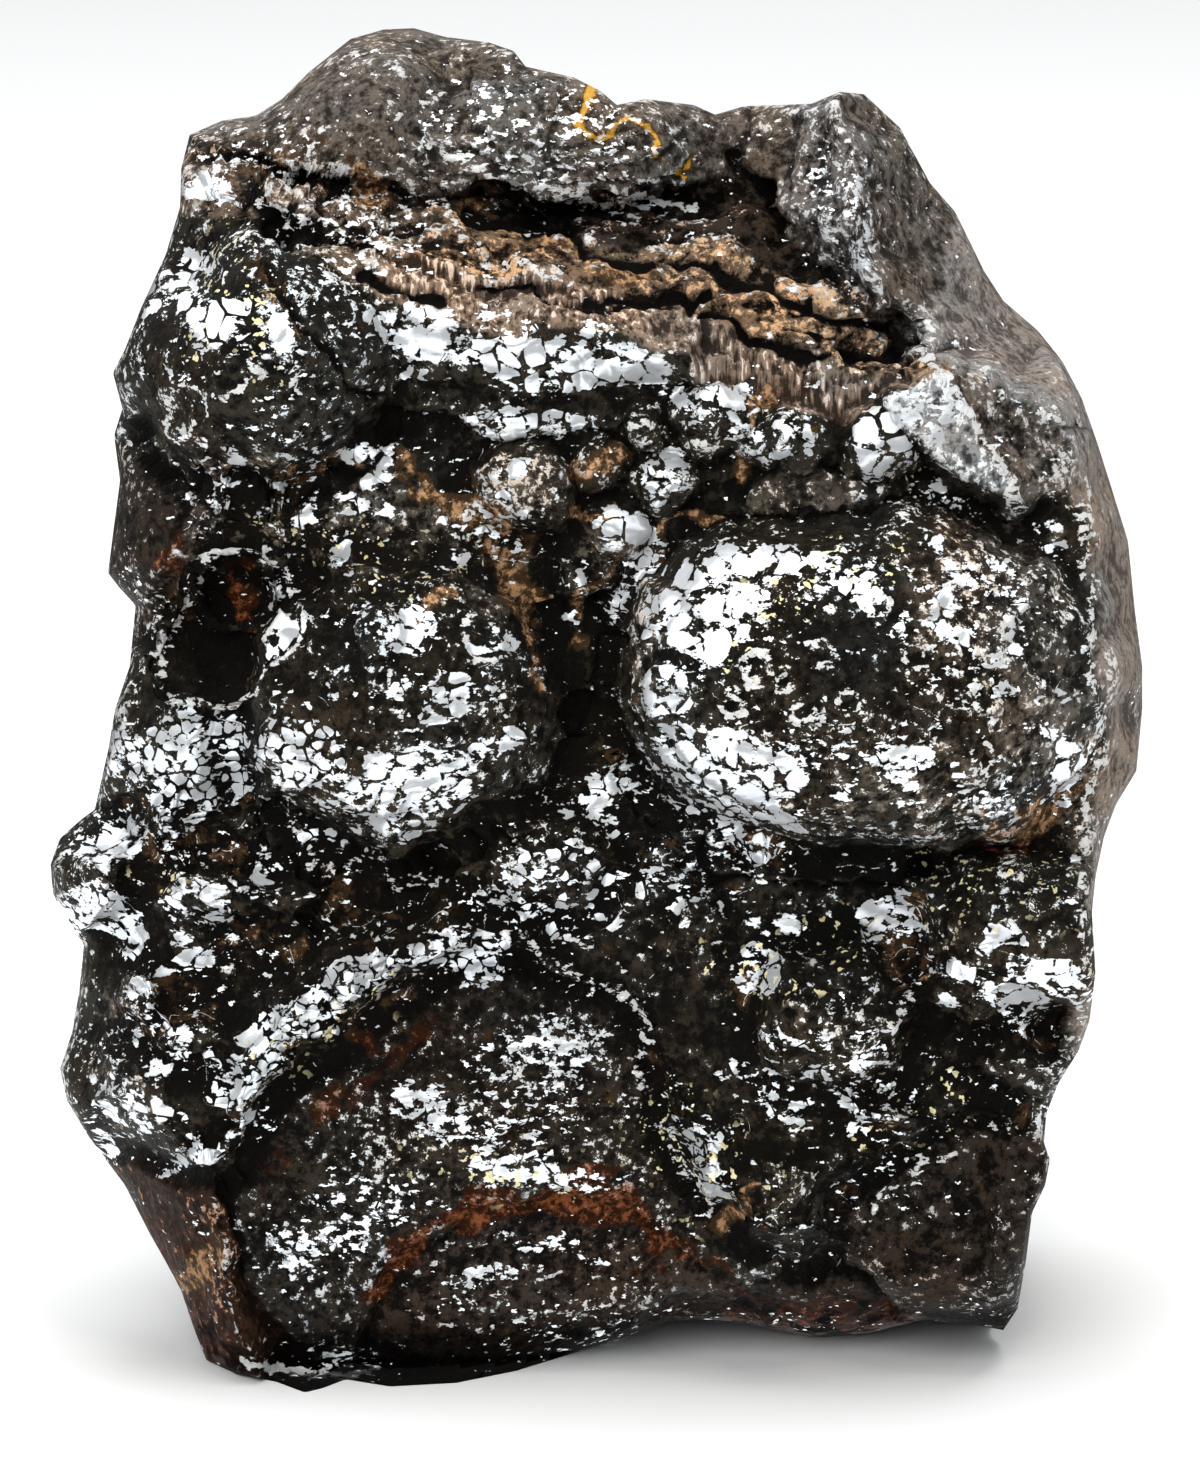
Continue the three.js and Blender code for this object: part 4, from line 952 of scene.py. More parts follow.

# Polished patches of the crust, which mirror the room and whose pale colour paints a highlight: middle u and
# v, half width, half height, tilt in degrees, and how full they are, from 0 (scattered flecks) to 1
# (unbroken).
POLISHED = [
    (8.6, 66.6, 3.7, 4.6, -30, 1.22), (12.6, 69.4, 3.4, 1.8, 8, 1.18), (6.2, 63.2, 2, 2.2, 0, 1.15),
    (3.6, 66.6, 1.0, 3.0, -25, 1.0), (9.8, 52.6, 6.4, 2.7, -8, 1.22), (6.4, 48.6, 3.8, 0.8, -42, 1.0),
    (13, 48.4, 5, 2.2, -26, 1.2), (4.2, 51.6, 2.3, 1.0, -50, 1.2), (6.0, 58.4, 2.0, 1.6, 0, 1.22),
    (-18.9, 89.3, 3.1, 1.6, -22, 1.22), (-14.8, 87.2, 3.1, 1.5, -18, 1.22),
    (-8.6, 86.2, 3.2, 1.3, -12, 1.18), (-2.4, 86.8, 3.6, 1.6, 6, 1.22),
    (3.6, 85.5, 2.8, 1.1, -14, 1.15), (-6.4, 81, 3.4, 0.9, -6, 1.1), (-17, 50.4, 5.2, 1.5, 8, 1.22),
    (-11.2, 51.8, 3.2, 1.3, 14, 1.15), (-19.4, 47.4, 3.2, 1.7, -30, 1.15),
    (-13.6, 47.6, 2.8, 1.3, 0, 1.1), (-26, 52.6, 3.4, 2.6, -30, 1.1), (-35.6, 53, 5, 2.8, 0, 1.1),
    (-42, 39.9, 3.4, 2, 0, 1.22), (-42.2, 46.4, 2.4, 1.3, 0, 1.1), (-16.4, 64.4, 2, 1.3, 15, 1.22),
    (-27.6, 64.6, 1.3, 2, -20, 1.15), (32.8, 37.7, 2.8, 1.0, -6, 1.22),
    (37.8, 34.6, 3.4, 1.5, -8, 1.22), (34.8, 31.8, 1.9, 1.1, 0, 1.15), (22.9, 80, 1.2, 2.2, -10, 1.22),
    (24, 77.4, 1.6, 1.2, 40, 1.15), (38.4, 52, 1, 2.6, 10, 1.15), (-38.4, 34.2, 2.6, 1.1, 0, 1.18),
    (-29.4, 27, 2.6, 2.3, 0, 1.15), (-24.8, 30.6, 2.8, 2.1, 20, 1.15), (-19.8, 33.8, 3, 1.9, 20, 1.15),
    (-33.4, 19, 2.6, 1.4, 10, 1.22), (-21.5, 13.5, 3, 2.2, 0, 0.5), (-10, 9, 6, 0.9, 12, 0.5),
    (-4, 12, 4.5, 0.7, -10, 0.5), (-28.4, 29.6, 3.8, 1.8, 38, 1.2), (-24, 32.6, 3.2, 1.6, 32, 1.1),
    (-19.4, 35.4, 3, 1.5, 28, 1.15), (-14.2, 36.8, 2.8, 1.4, 12, 1.1), (-35, 91.4, 2.8, 2.4, -40, 1.1),
    (-27, 87.6, 1.1, 3.4, 22, 1.15), (5.5, 76.6, 2, 1.7, 0, 1.2), (7.3, 82.4, 0.9, 1.8, 0, 1.2),
    (10.9, 82.2, 1.1, 1.2, 0, 1.1), (-22, 69.8, 1.9, 1.2, 30, 1.1), (-33, 100.6, 2.2, 1.2, 0, 1.15),
    (-35, 91, 4.2, 4.5, -20, 0.62), (-27, 88.5, 2, 5, 20, 0.6), (-18.7, 77.8, 2.6, 2, 30, 0.6),
    (-31, 78, 7, 2.6, 0, 0.3), (-27.4, 64.4, 1.8, 2.6, -20, 0.9), (-22, 69.8, 2.2, 1.5, 30, 0.75),
    (-27, 71.6, 2, 1.2, 0, 0.6), (-16, 64.2, 2.3, 1.6, 15, 0.95), (-9, 63.1, 2.3, 1.4, -10, 0.6),
    (-11, 58.6, 3.4, 1.8, 0, 0.65), (-13.5, 57, 2.4, 0.8, 0, 0.75), (-20, 58.5, 6, 3, 0, 0.28),
    (-25.8, 54, 4.2, 4, 0, 0.85), (-16, 50.5, 6.4, 3.8, 10, 0.8), (-7.8, 52.8, 3.2, 1.4, 10, 0.75),
    (-15, 45.8, 2.4, 1.2, 10, 0.75), (-24, 47.5, 5, 2, -35, 0.5), (-35.4, 52.8, 6.2, 4.2, 0, 0.98),
    (-42.2, 46.2, 3, 1.8, 0, 0.9), (-42, 39.8, 3.8, 2.2, 0, 0.95), (-35.6, 46.8, 2, 1.8, 0, 0.75),
    (-33.5, 41.2, 3.8, 3.8, 0, 0.52), (-27.5, 42.4, 2.6, 2.4, 0, 0.45), (-4.5, 42, 6.4, 4.2, 0, 0.6),
    (-38.4, 34, 2.8, 1.3, 0, 0.85), (-34.2, 35.8, 2, 1, 0, 0.6), (-29.4, 26.8, 3.2, 3, 0, 1.0),
    (-25.2, 30.2, 3.4, 2.9, 0, 0.95), (-20.5, 33.6, 4, 2.8, 20, 0.9), (-11.4, 36.4, 4.4, 2.2, 0, 0.85),
    (-33.2, 18.9, 2.9, 1.7, 0, 0.92), (-29, 21.3, 3, 1.3, 30, 0.72), (-38, 23.2, 3, 3, 0, 0.52),
    (-41.8, 24, 1.8, 6, 10, 0.5), (-38, 29, 4.5, 3, 0, 0.42), (-14.2, 23.2, 4, 2.6, -40, 0.58),
    (-5.5, 18.6, 6.4, 1.9, -8, 0.66), (-4, 28.6, 6.5, 2, 0, 0.5), (-25.7, 11.8, 2.8, 1.8, -25, 0.55),
    (-20, 16, 6, 3, 0, 0.4), (-8, 24, 8, 6, 0, 0.36), (-3, 6, 9, 2.6, 8, 0.2),
    (-22, 3, 3.5, 1.5, 0, 0.4), (9, 66.2, 5, 5.4, -25, 1.0), (3.2, 66.6, 2.3, 4.6, -15, 0.6),
    (14, 69.4, 3.2, 2.4, 0, 0.75), (6.2, 58.2, 2.4, 1.9, 0, 0.95), (29, 67.2, 4.6, 4.2, 0, 0.42),
    (36.8, 69.6, 3.2, 2.6, 0, 0.55), (20.5, 67, 3.4, 3.4, 0, 0.48), (38.4, 52, 1.2, 3, 10, 0.85),
    (11, 52.6, 7, 2.8, 0, 1.0), (10.8, 47.6, 6.6, 3.2, -18, 0.85), (2.8, 52, 2.2, 3, -50, 0.7),
    (27, 50, 9.5, 5.6, 0, 0.35), (24, 58, 12, 3, 0, 0.22), (36, 60, 3.4, 6, 0, 0.36),
    (30, 64.5, 8, 6, 0, 0.31), (24.3, 40.2, 1.8, 1.8, 0, 0.75), (32.8, 37.8, 2.8, 1.4, 0, 0.92),
    (37.8, 34.6, 3.4, 1.7, 0, 1.0), (34.6, 31.9, 2.2, 1.5, 0, 0.9), (29.4, 34, 4.4, 1.6, -28, 0.62),
    (13.2, 35.4, 3.4, 1.1, 38, 1.0), (13.2, 29.6, 1.7, 1.7, -30, 0.85), (8.4, 21.2, 4.2, 2.2, 0, 0.66),
    (9.5, 17.1, 2.6, 2.2, 0, 0.6), (24, 22.8, 4, 1.6, 38, 0.62), (17, 11.8, 3.2, 2, 0, 0.4),
    (8, 42.4, 6, 3.4, 0, 0.28), (18, 26, 8, 4, 0, 0.4), (15, 39.6, 5, 2, 0, 0.5),
    (-10, 72, 5, 3, 0, 0.34), (-20, 74, 7, 2, 0, 0.3), (-2, 47.6, 4, 4, 0, 0.35),
    (-20, 89.2, 2.2, 2, 0, 0.95), (-15.2, 87.4, 3.3, 2.6, 0, 0.92), (-2.5, 86, 8.4, 2.8, 0, 0.85),
    (-6, 80.9, 4.9, 1.5, 0, 0.7), (9.6, 81.9, 3.4, 2.2, 0, 0.4), (5.5, 76.2, 2.2, 2, 0, 0.8),
    (15.2, 79.6, 2.9, 1.8, 0, 0.62), (23.3, 79.6, 2.1, 3.7, 0, 0.97), (-7.5, 77, 2.6, 1.3, 0, 0.6),
    (1.8, 71.8, 2, 2.2, 0, 0.62), (-2.5, 67.8, 2, 1.8, 0, 0.5), (29, 74.6, 4, 1.4, -10, 0.45),
    (-9.5, 89.4, 1.7, 2.2, 0, 0.5), (-24, 97, 4, 3, 0, 0.4), (-32.8, 100.8, 2, 1.4, 0, 0.8),
    (-6, 104, 11, 6.5, 0, 0.35), (2, 97.6, 9, 1.6, -5, 0.35), (-20, 96, 6, 5, 0, 0.4),
    (-30, 104, 6, 3, 0, 0.3), (-30, 74, 6, 2, 0, 0.3), (20, 99, 4, 8, 0, 0.3), (27, 81, 3, 4, -45, 0.6),
]
# Weathered grey-brown places on the crust: u, v, half width, half height, tilt, share.
WEATHERED = [
    (-24, 72.5, 14, 4.4, 0, 0.8), (-9, 70, 5, 4, -30, 0.7), (-6.5, 76, 4.5, 3, 0, 0.75),
    (0.5, 69, 4, 4, 0, 0.6), (18, 75, 7, 2.5, 0, 0.6), (32, 66, 8, 7, 0, 0.7), (36, 58, 5, 8, 0, 0.65),
    (-38, 71, 4, 7, 0, 0.6), (28, 50, 12, 6, 0, 0.45), (3.5, 64, 2.4, 7, 0, 0.6),
    (18, 32, 6, 6, 0, 0.35), (-1, 22, 3, 12, 0, 0.35), (40.5, 48, 3, 8, 0, 0.6),
    (-41, 28, 3.5, 8, 0, 0.5), (4, 44, 10, 6, 0, 0.35), (-20, 46, 12, 4, 0, 0.3),
]
# Polished places that are broken into separate growth cells: u, v, half width, half height, tilt, share.
CELLED = [
    (-25.8, 54, 4.6, 4.6, 0, 1.0), (-35.4, 52.8, 6.6, 4.6, 0, 1.0), (-4.5, 42, 7, 4.6, 0, 0.9),
    (-30, 26.8, 3, 2.8, 0, 1.0), (-25.4, 30.2, 3.6, 3, 0, 1.0), (-20.5, 33.6, 4, 3, 20, 1.0),
    (3.4, 66.5, 2, 5, 0, 0.8), (8.4, 21, 4.6, 3.4, 0, 0.8), (-24, 30.5, 11, 3.6, 35, 1.0),
    (-33, 85, 8, 9, 0, 0.5), (-30, 78, 8, 3, 0, 0.4), (-12, 36.5, 5, 2.6, 0, 0.8),
    (-42, 39.8, 4, 2.6, 0, 0.7), (9.4, 46.6, 6.4, 2.4, -24, 0.8), (-24, 47.5, 5, 2.5, -35, 0.8),
]


def near_ellipses(ellipses, u, v):
    """Largest share of the patches at each place, falling off softly at their edges."""
    places = on_face(u, v)
    u = u + 1.1 * value_noise(places / 3.1, 61)
    v = v + 1.1 * value_noise(places / 3.1, 62)
    mask = np.zeros_like(u)
    for cu, cv, half_width, half_height, tilt, share in ellipses:
        cos, sin = math.cos(math.radians(tilt)), math.sin(math.radians(tilt))
        x, y = (u - cu) * cos + (v - cv) * sin, (v - cv) * cos - (u - cu) * sin
        mask = np.maximum(mask, share * (1 - ramp(np.hypot(x / half_width, y / half_height), 0.6, 1.35)))
    return mask


def near_lines(lines, u, v, reach=None):
    """Strength on drawn lines, falling to 0 at about twice their half width, with an uneven outline.

    Where reach is given, it falls evenly to 0 at that distance instead.
    """
    places = on_face(u, v)
    far, near = (1.3, 0.5) if reach is None else (0.7, 0.2)
    u = u + far * value_noise(places / 3.3, 51) + near * value_noise(places / 1.1, 52)
    v = v + far * value_noise(places / 3.3, 53) + near * value_noise(places / 1.1, 54)
    wide = 1 + 0.8 * value_noise(places / 2.7, 55)
    mask = np.zeros_like(u)
    for points, half, strength in lines:
        distance = np.full(u.shape, 1e9)
        for (au, av), (bu, bv) in zip(points, points[1:]):
            du, dv = bu - au, bv - av
            t = np.clip(((u - au) * du + (v - av) * dv) / (du * du + dv * dv), 0, 1)
            distance = np.minimum(distance, np.hypot(u - au - t * du, v - av - t * dv))
        fall = ramp(distance / (half * wide), 0.3, 2.1) if reach is None else distance / reach
        mask = np.maximum(mask, strength * (1 - fall))
    return mask


# ---- node helpers --------------------------------------------------------------------------------


def add(tree, kind, inputs=(), **settings):
    """Adds a node; inputs maps its sockets to plain values or to other nodes' sockets."""
    node = tree.nodes.new(kind)
    for name, value in settings.items():
        setattr(node, name, value)
    for key, value in dict(inputs).items():
        if isinstance(value, bpy.types.NodeSocket):
            tree.links.new(value, node.inputs[key])
        else:
            node.inputs[key].default_value = value
    return node


def calc(tree, operation, *values):
    """Output of a math node."""
    return add(tree, "ShaderNodeMath", enumerate(values), operation=operation).outputs[0]


def calc_vector(tree, operation, *values):
    """Output of a vector math node."""
    return add(tree, "ShaderNodeVectorMath", enumerate(values), operation=operation).outputs[0]


def step(tree, value, low, high):
    """0 below low and 1 above high, with a smooth step between."""
    inputs = {"Value": value, "From Min": low, "From Max": high}
    return add(tree, "ShaderNodeMapRange", inputs, interpolation_type="SMOOTHSTEP").outputs[0]


def blend(tree, factor, a, b, data_type="RGBA"):
    """Mix of two colours, or of two values or vectors where data_type is FLOAT or VECTOR."""
    kind = ("FLOAT", "VECTOR", "RGBA").index(data_type)
    first = 2 + 2 * kind
    node = add(tree, "ShaderNodeMix", {0: factor, first: a, first + 1: b}, data_type=data_type)
    return node.outputs[kind]


def noise(tree, vector, size, detail, roughness):
    """Soft noise with features of about size millimetres."""
    inputs = {"Vector": vector, "Scale": 1 / size, "Detail": detail, "Roughness": roughness}
    return add(tree, "ShaderNodeTexNoise", inputs).outputs[0]


def rgba(colour, shade=1.0):
    """Colour with full opacity, darkened by a factor."""
    return (*(shade * c for c in colour[:3]), 1.0)


def new_material(name):
    """Empty material, and its node tree."""
    material = bpy.data.materials.new(name)
    material.use_nodes = True
    material.node_tree.nodes.clear()
    return material, material.node_tree


def new_group(name, inputs, outputs):
    """Empty node group; inputs are (name, socket type, default) and outputs (name, socket type)."""
    group = bpy.data.node_groups.new(name, "ShaderNodeTree")
    for label, kind, default in inputs:
        socket = group.interface.new_socket(name=label, in_out="INPUT", socket_type=kind)
        if default is not None:
            socket.default_value = default
    for label, kind in outputs:
        group.interface.new_socket(name=label, in_out="OUTPUT", socket_type=kind)
    return group, group.nodes.new("NodeGroupInput"), group.nodes.new("NodeGroupOutput")


FLOAT = "NodeSocketFloat"
VECTOR = "NodeSocketVector"


def growth_cells_group():
    """Growth cells with wavering outlines.

    Inset is how far inside its rounded cell a place is, in shares of a cell. Shade differs between cells.
    """
    group, given, out = new_group(
        "Growth cells", [("Vector", VECTOR, None), ("Size", FLOAT, 1.0), ("Waver", FLOAT, 0.5)],
        [("Inset", FLOAT), ("Shade", FLOAT)],
    )
    scale = calc(group, "DIVIDE", 1.0, given.outputs["Size"])
    wide = calc(group, "MULTIPLY", scale, 0.9)
    inputs = {"Vector": given.outputs["Vector"], "Scale": wide, "Detail": 1.0}
    shift = add(group, "ShaderNodeTexNoise", inputs).outputs["Color"]
    shift = calc_vector(group, "SUBTRACT", shift, (0.5, 0.5, 0.5))
    reach = calc(group, "MULTIPLY", given.outputs["Size"], given.outputs["Waver"])
    shift = add(group, "ShaderNodeVectorMath", {0: shift, "Scale": reach}, operation="SCALE").outputs[0]
    moved = calc_vector(group, "ADD", given.outputs["Vector"], shift)
    inputs = {"Vector": moved, "Scale": scale}
    first = add(group, "ShaderNodeTexVoronoi", inputs, feature="F1")
    second = add(group, "ShaderNodeTexVoronoi", inputs, feature="F2").outputs["Distance"]
    gap = calc(group, "SUBTRACT", second, first.outputs["Distance"])
    corner = calc(group, "MAXIMUM", calc(group, "SUBTRACT", first.outputs["Distance"], 0.3), 0.0)
    group.links.new(calc(group, "MULTIPLY_ADD", corner, -0.5, gap), out.inputs["Inset"])
    shade = add(group, "ShaderNodeSeparateColor", {0: first.outputs["Color"]}).outputs[0]
    group.links.new(shade, out.inputs["Shade"])
    return group


# ---- finishes ------------------------------------------------------------------------------------

# Kinds of surface, each laid over the ones before it: the dark colour, laid at random and as painted shade
# in the hollows, the colour of the main surface and of its light crumbs, then the extra share of light
# crumbs, metallic, roughness and depth of the grain.
FINISHES = {
    "crust": ((0.0055, 0.0048, 0.004), (0.042, 0.035, 0.026), (0.80, 0.83, 0.83), -0.005, 0.0, 0.5, 0.22),
    "weathered": ((0.009, 0.0075, 0.006), (0.17, 0.14, 0.11), (0.75, 0.68, 0.61), 0.03, 0.0, 0.5, 0.26),
    "side": ((0.05, 0.038, 0.032), (0.23, 0.185, 0.155), (0.50, 0.43, 0.38), -0.04, 0.0, 0.55, 0.3),
    "rind": ((0.024, 0.019, 0.0155), (0.165, 0.135, 0.11), (0.72, 0.70, 0.68), 0.0, 0.0, 0.5, 0.32),
    "flank": ((0.085, 0.068, 0.058), (0.30, 0.255, 0.22), (0.62, 0.56, 0.52), -0.02, 0.0, 0.5, 0.26),
    "broken_top": ((0.007, 0.0055, 0.0045), (0.18, 0.135, 0.10), (0.78, 0.72, 0.66), 0.03, 0.0, 0.45, 0.36),
    "recess": ((0.003, 0.0025, 0.002), (0.04, 0.027, 0.019), (0.55, 0.38, 0.27), 0.0, 0.0, 0.5, 0.32),
    "ledge": ((0.008, 0.0056, 0.004), (0.25, 0.165, 0.105), (0.85, 0.52, 0.29), 0.05, 0.0, 0.55, 0.4),
    "fibre": ((0.035, 0.024, 0.018), (0.31, 0.22, 0.16), (0.80, 0.66, 0.55), 0.02, 0.1, 0.42, 0.26),
    "shell": ((0.0065, 0.0055, 0.0045), (0.045, 0.036, 0.028), (0.80, 0.82, 0.82), 0.02, 0.0, 0.45, 0.3),
    "inner": ((0.007, 0.0055, 0.0045), (0.060, 0.042, 0.031), (0.85, 0.86, 0.82), -0.02, 0.0, 0.45, 0.3),
    "foot": ((0.009, 0.005, 0.0036), (0.05, 0.026, 0.016), (0.60, 0.33, 0.20), 0.0, 0.0, 0.5, 0.34),
    "corner": ((0.0045, 0.0038, 0.003), (0.042, 0.03, 0.022), (0.62, 0.57, 0.52), -0.015, 0.0, 0.45, 0.34),
    "shoulder": ((0.012, 0.010, 0.0085), (0.175, 0.135, 0.105), (0.66, 0.60, 0.54), 0.01, 0.0, 0.45, 0.3),
    "chip": ((0.04, 0.04, 0.04), (0.32, 0.32, 0.32), (0.85, 0.88, 0.90), 0.05, 0.3, 0.3, 0.2),
    "spur": ((0.016, 0.014, 0.013), (0.19, 0.165, 0.15), (0.75, 0.75, 0.75), 0.03, 0.1, 0.38, 0.3),
}
FINISH_PARTS = (
    ("dark_and_shade_colour", 3), ("main_colour", 3), ("crumb_colour", 3), ("crumb_share", 1), ("metal", 1),
    ("rough", 1), ("grain", 1),
)
# Where the three colours, the main colour and the roughness stand in a row of FINISHES.
COLOURS, MAIN_COLOUR, ROUGH = slice(0, 9), slice(3, 6), 11


def patched(colours, points, amount):
    """Colours of a rough break, with broad dark patches and rusty ones where amount is 1."""
    dark = 0.62 * ramp(layered_noise(points / 11, 113, 3), 0.0, 0.45) * amount
    rusty = 0.8 * ramp(layered_noise(points / (13, 13, 8), 114, 3), 0.12, 0.5) * amount
    tint = 1 + rusty[:, None] * np.tile((0.15, -0.32, -0.55), 3)
    return colours * tint * (1 - dark)[:, None]


def surface_finish(points, masks):
    """Colours and gloss of every point, from the kinds of surface there, with ragged borders."""
    jagged = 0.4 * layered_noise(points / 1.1, 111, 2, 0.6)
    values = np.tile(np.hstack(FINISHES["crust"]), (len(points), 1))
    for name, finish in FINISHES.items():
        if name != "crust":
            here = ramp(masks[name] + jagged * (masks[name] > 0), 0.42, 0.58)[:, None]
            values = lerp(values, np.hstack(finish), here)
    underside = masks["underside"]
    values[:, COLOURS] = patched(values[:, COLOURS], points, masks["side"])
    # Painted shade near the floor under the rock, which also turns rough there.
    values[:, COLOURS] *= 1 - 0.8 * underside[:, None]
    # Painted shade: the main colour is darker on faces that look up.
    values[:, MAIN_COLOUR] *= 1 - 0.6 * masks["facing_up"][:, None]
    values[:, ROUGH] = lerp(values[:, ROUGH], 0.95, underside)
    warmth = 0.16 * layered_noise(points / 7, 112, 2)[:, None] * (1, 0, -1)
    values[:, COLOURS] *= 1 + np.tile(warmth, 3)
    splits = np.cumsum([size for _, size in FINISH_PARTS])[:-1]
    return {name: part for (name, _), part in zip(FINISH_PARTS, np.split(values, splits, axis=1))}


# The polished places are half mirror and half pale metal, whose pale colour paints their highlight.
POLISH_METAL = 0.42
POLISH_ROUGHNESS = 0.14
POLISH_EVENNESS = 0.9  # how much of the bump the polish takes away
SPECULAR_LEVEL = 0.025  # low, so that the dull crust stays black
GRAIN_HEIGHT = 3.0  # height of the bump for each millimetre of grain


def hematite_material(settings):
    """Near-black crust with polished cells, duller breaks, fibres, ochre, rust and a yellow vein."""
    material, tree = new_material("hematite")

    # Places in millimetres, and the same drawn out along the face, in depth and upwards.
    place_here = add(tree, "ShaderNodeTexCoord").outputs["Object"]
    vector = calc_vector(tree, "MULTIPLY", place_here, (1 / MM,) * 3)
    flat = calc_vector(tree, "MULTIPLY", vector, (0.6, 0.5, 1.0))
    shallow = calc_vector(tree, "MULTIPLY", vector, (1.0, 0.6, 1.0))
    upright = calc_vector(tree, "MULTIPLY", vector, (1.6, 1.0, 0.14))

    def given(name, output="Fac"):
        """Value that is kept on the mesh."""
        return add(tree, "ShaderNodeAttribute", attribute_name=name).outputs[output]

    def off_middle(value, strength, base):
        """base, moved by how far a value from 0 to 1 is off its middle."""
        return calc(tree, "MULTIPLY_ADD", calc(tree, "SUBTRACT", value, 0.5), strength, base)

    def lay(mask, tint, metal=None, rough=None, cover=None):
        """Lays a finish over the ones before it where the mask is 1; cover thins its colour."""
        over = mask if cover is None else calc(tree, "MULTIPLY", mask, cover)
        surface["Base Color"] = blend(tree, over, surface["Base Color"], tint)
        for name, value in (("Metallic", metal), ("Roughness", rough)):
            if value is not None:
                surface[name] = blend(tree, mask, surface[name], value, "FLOAT")

    grain = noise(tree, vector, 0.9, 5.0, 0.72)
    mottle = noise(tree, vector, 2.4, 5.0, 0.66)
    patches = noise(tree, vector, 7.0, 1.0, 0.5)
    crisp = blend(tree, given("fibre"), grain, noise(tree, upright, 0.8, 4.0, 0.6), "FLOAT")
    # How far a place stands out: among other uses, it darkens the hollows as painted shade and lightens what
    # stands out as a painted highlight.
    relief = calc(tree, "MULTIPLY_ADD", given("broad_edge"), 0.12, given("fine_edge"))
    relief = calc(tree, "MAXIMUM", calc(tree, "MINIMUM", relief, 0.25), -0.6)
    crust = given("crust")

    # The unpolished surface: the dark colour at random and as painted shade in the hollows, the main colour,
    # and light crumbs, which are laid more on what stands out as a painted highlight.
    tone = calc(tree, "MULTIPLY_ADD", mottle, 0.35, calc(tree, "MULTIPLY", crisp, 0.65))
    tone = step(tree, calc(tree, "MULTIPLY_ADD", relief, 0.2, tone), 0.43, 0.57)
    colour = blend(tree, tone, given("dark_and_shade_colour", "Color"), given("main_colour", "Color"))
    surface = {"Base Color": colour, "Metallic": given("metal"), "Roughness": given("rough")}
    crumbs = off_middle(patches, 0.2, calc(tree, "MULTIPLY_ADD", relief, 0.25, crisp))
    crumbs = step(tree, calc(tree, "ADD", crumbs, given("crumb_share")), 0.62, 0.66)
    lay(crumbs, given("crumb_colour", "Color"))

    # Stains and fillings, which gather in the hollows as crumbs.
    sunk = calc(tree, "MULTIPLY", step(tree, calc(tree, "MULTIPLY", relief, -1.0), 0.1, 0.45), crust)
    sunk = calc(tree, "MULTIPLY", sunk, step(tree, patches, 0.5, 0.62))
    for name, tint, settled, contrast, full_at in (
        ("rust", settings.rust_colour, 0.0, 6.0, 1.7), ("ochre", settings.ochre_colour, 0.45, 4.5, 1.35),
        ("vein", settings.vein_colour, 0.0, 2.0, 1.25),
    ):
        spread = calc(tree, "MAXIMUM", given(name), calc(tree, "MULTIPLY", sunk, settled))
        halo = step(tree, off_middle(mottle, 2.4, spread), 0.35, 0.7)
        tone = step(tree, off_middle(grain, contrast, spread), 0.6, full_at)
        tint = blend(tree, tone, rgba(tint, 0.1), rgba(tint))
        lay(halo, tint, metal=0.0, rough=0.6, cover=0.85)

    # Thin wavy growth lines.
    lines = calc(tree, "ABSOLUTE", calc(tree, "SUBTRACT", noise(tree, vector, 3.4, 0.0, 0.5), 0.54))
    lines = calc(tree, "SUBTRACT", 1.0, step(tree, lines, 0.003, 0.007))
    broken = step(tree, off_middle(patches, 0.5, mottle), 0.59, 0.61)
    broken = calc(tree, "MULTIPLY", broken, step(tree, grain, 0.46, 0.5))
    lines = calc(tree, "MULTIPLY", lines, broken)
    lay(calc(tree, "MULTIPLY", lines, crust), rgba(settings.speck_colour))

    # Polished islands, parted by dark grooves into cells, and small polished flecks between them; their pale
    # colour is a painted highlight on top of their gloss.
    celled = given("celled")
    size = blend(tree, step(tree, celled, 0.59, 0.61), 2.1, 1.15, "FLOAT")
    inputs = {"Vector": shallow, "Size": size, "Waver": 0.6}
    cells = add(tree, "ShaderNodeGroup", inputs, node_tree=growth_cells_group())
    share = given("polish_and_highlight")
    small = noise(tree, flat, 0.6, 3.0, 0.6)
    islands = blend(tree, crust, small, noise(tree, flat, 1.8, 4.0, 0.6), "FLOAT")
    full = step(tree, share, 0.45, 0.85)
    weight = blend(tree, celled, calc(tree, "MULTIPLY_ADD", full, 0.3, 0.15), 0.8, "FLOAT")
    weight = calc(tree, "MULTIPLY", crust, weight)
    pattern = off_middle(cells.outputs["Shade"], weight, share)
    raised = off_middle(islands, 2.6, pattern)
    width = calc(tree, "MAXIMUM", celled, calc(tree, "MULTIPLY", full, step(tree, mottle, 0.36, 0.52)))
    width = calc(tree, "MULTIPLY", width, crust)
    width = calc(tree, "MULTIPLY", width, blend(tree, step(tree, share, 0.95, 1.15), 1.0, 0.9, "FLOAT"))
    width = calc(tree, "MULTIPLY_ADD", width, 0.2, -0.145)
    groove = calc(tree, "SUBTRACT", cells.outputs["Inset"], width)
    polish_and_highlight = calc(tree, "MULTIPLY", step(tree, raised, 0.5, 0.56), step(tree, groove, 0.0, 0.05))
    flecks = calc(tree, "MULTIPLY_ADD", share, 0.12, small)
    few = calc(tree, "MULTIPLY_ADD", crust, 0.02, off_middle(patches, 0.25, flecks))
    polish_and_highlight = calc(tree, "MAXIMUM", polish_and_highlight, step(tree, few, 0.675, 0.695))
    tone = off_middle(grain, 2.5, cells.outputs["Shade"])
    shine = blend(tree, tone, rgba(settings.polish_highlight_colour, 0.84), rgba(settings.polish_highlight_colour))
    shine = blend(tree, step(tree, share, 0.2, 0.7), rgba(settings.fleck_highlight_colour), shine)
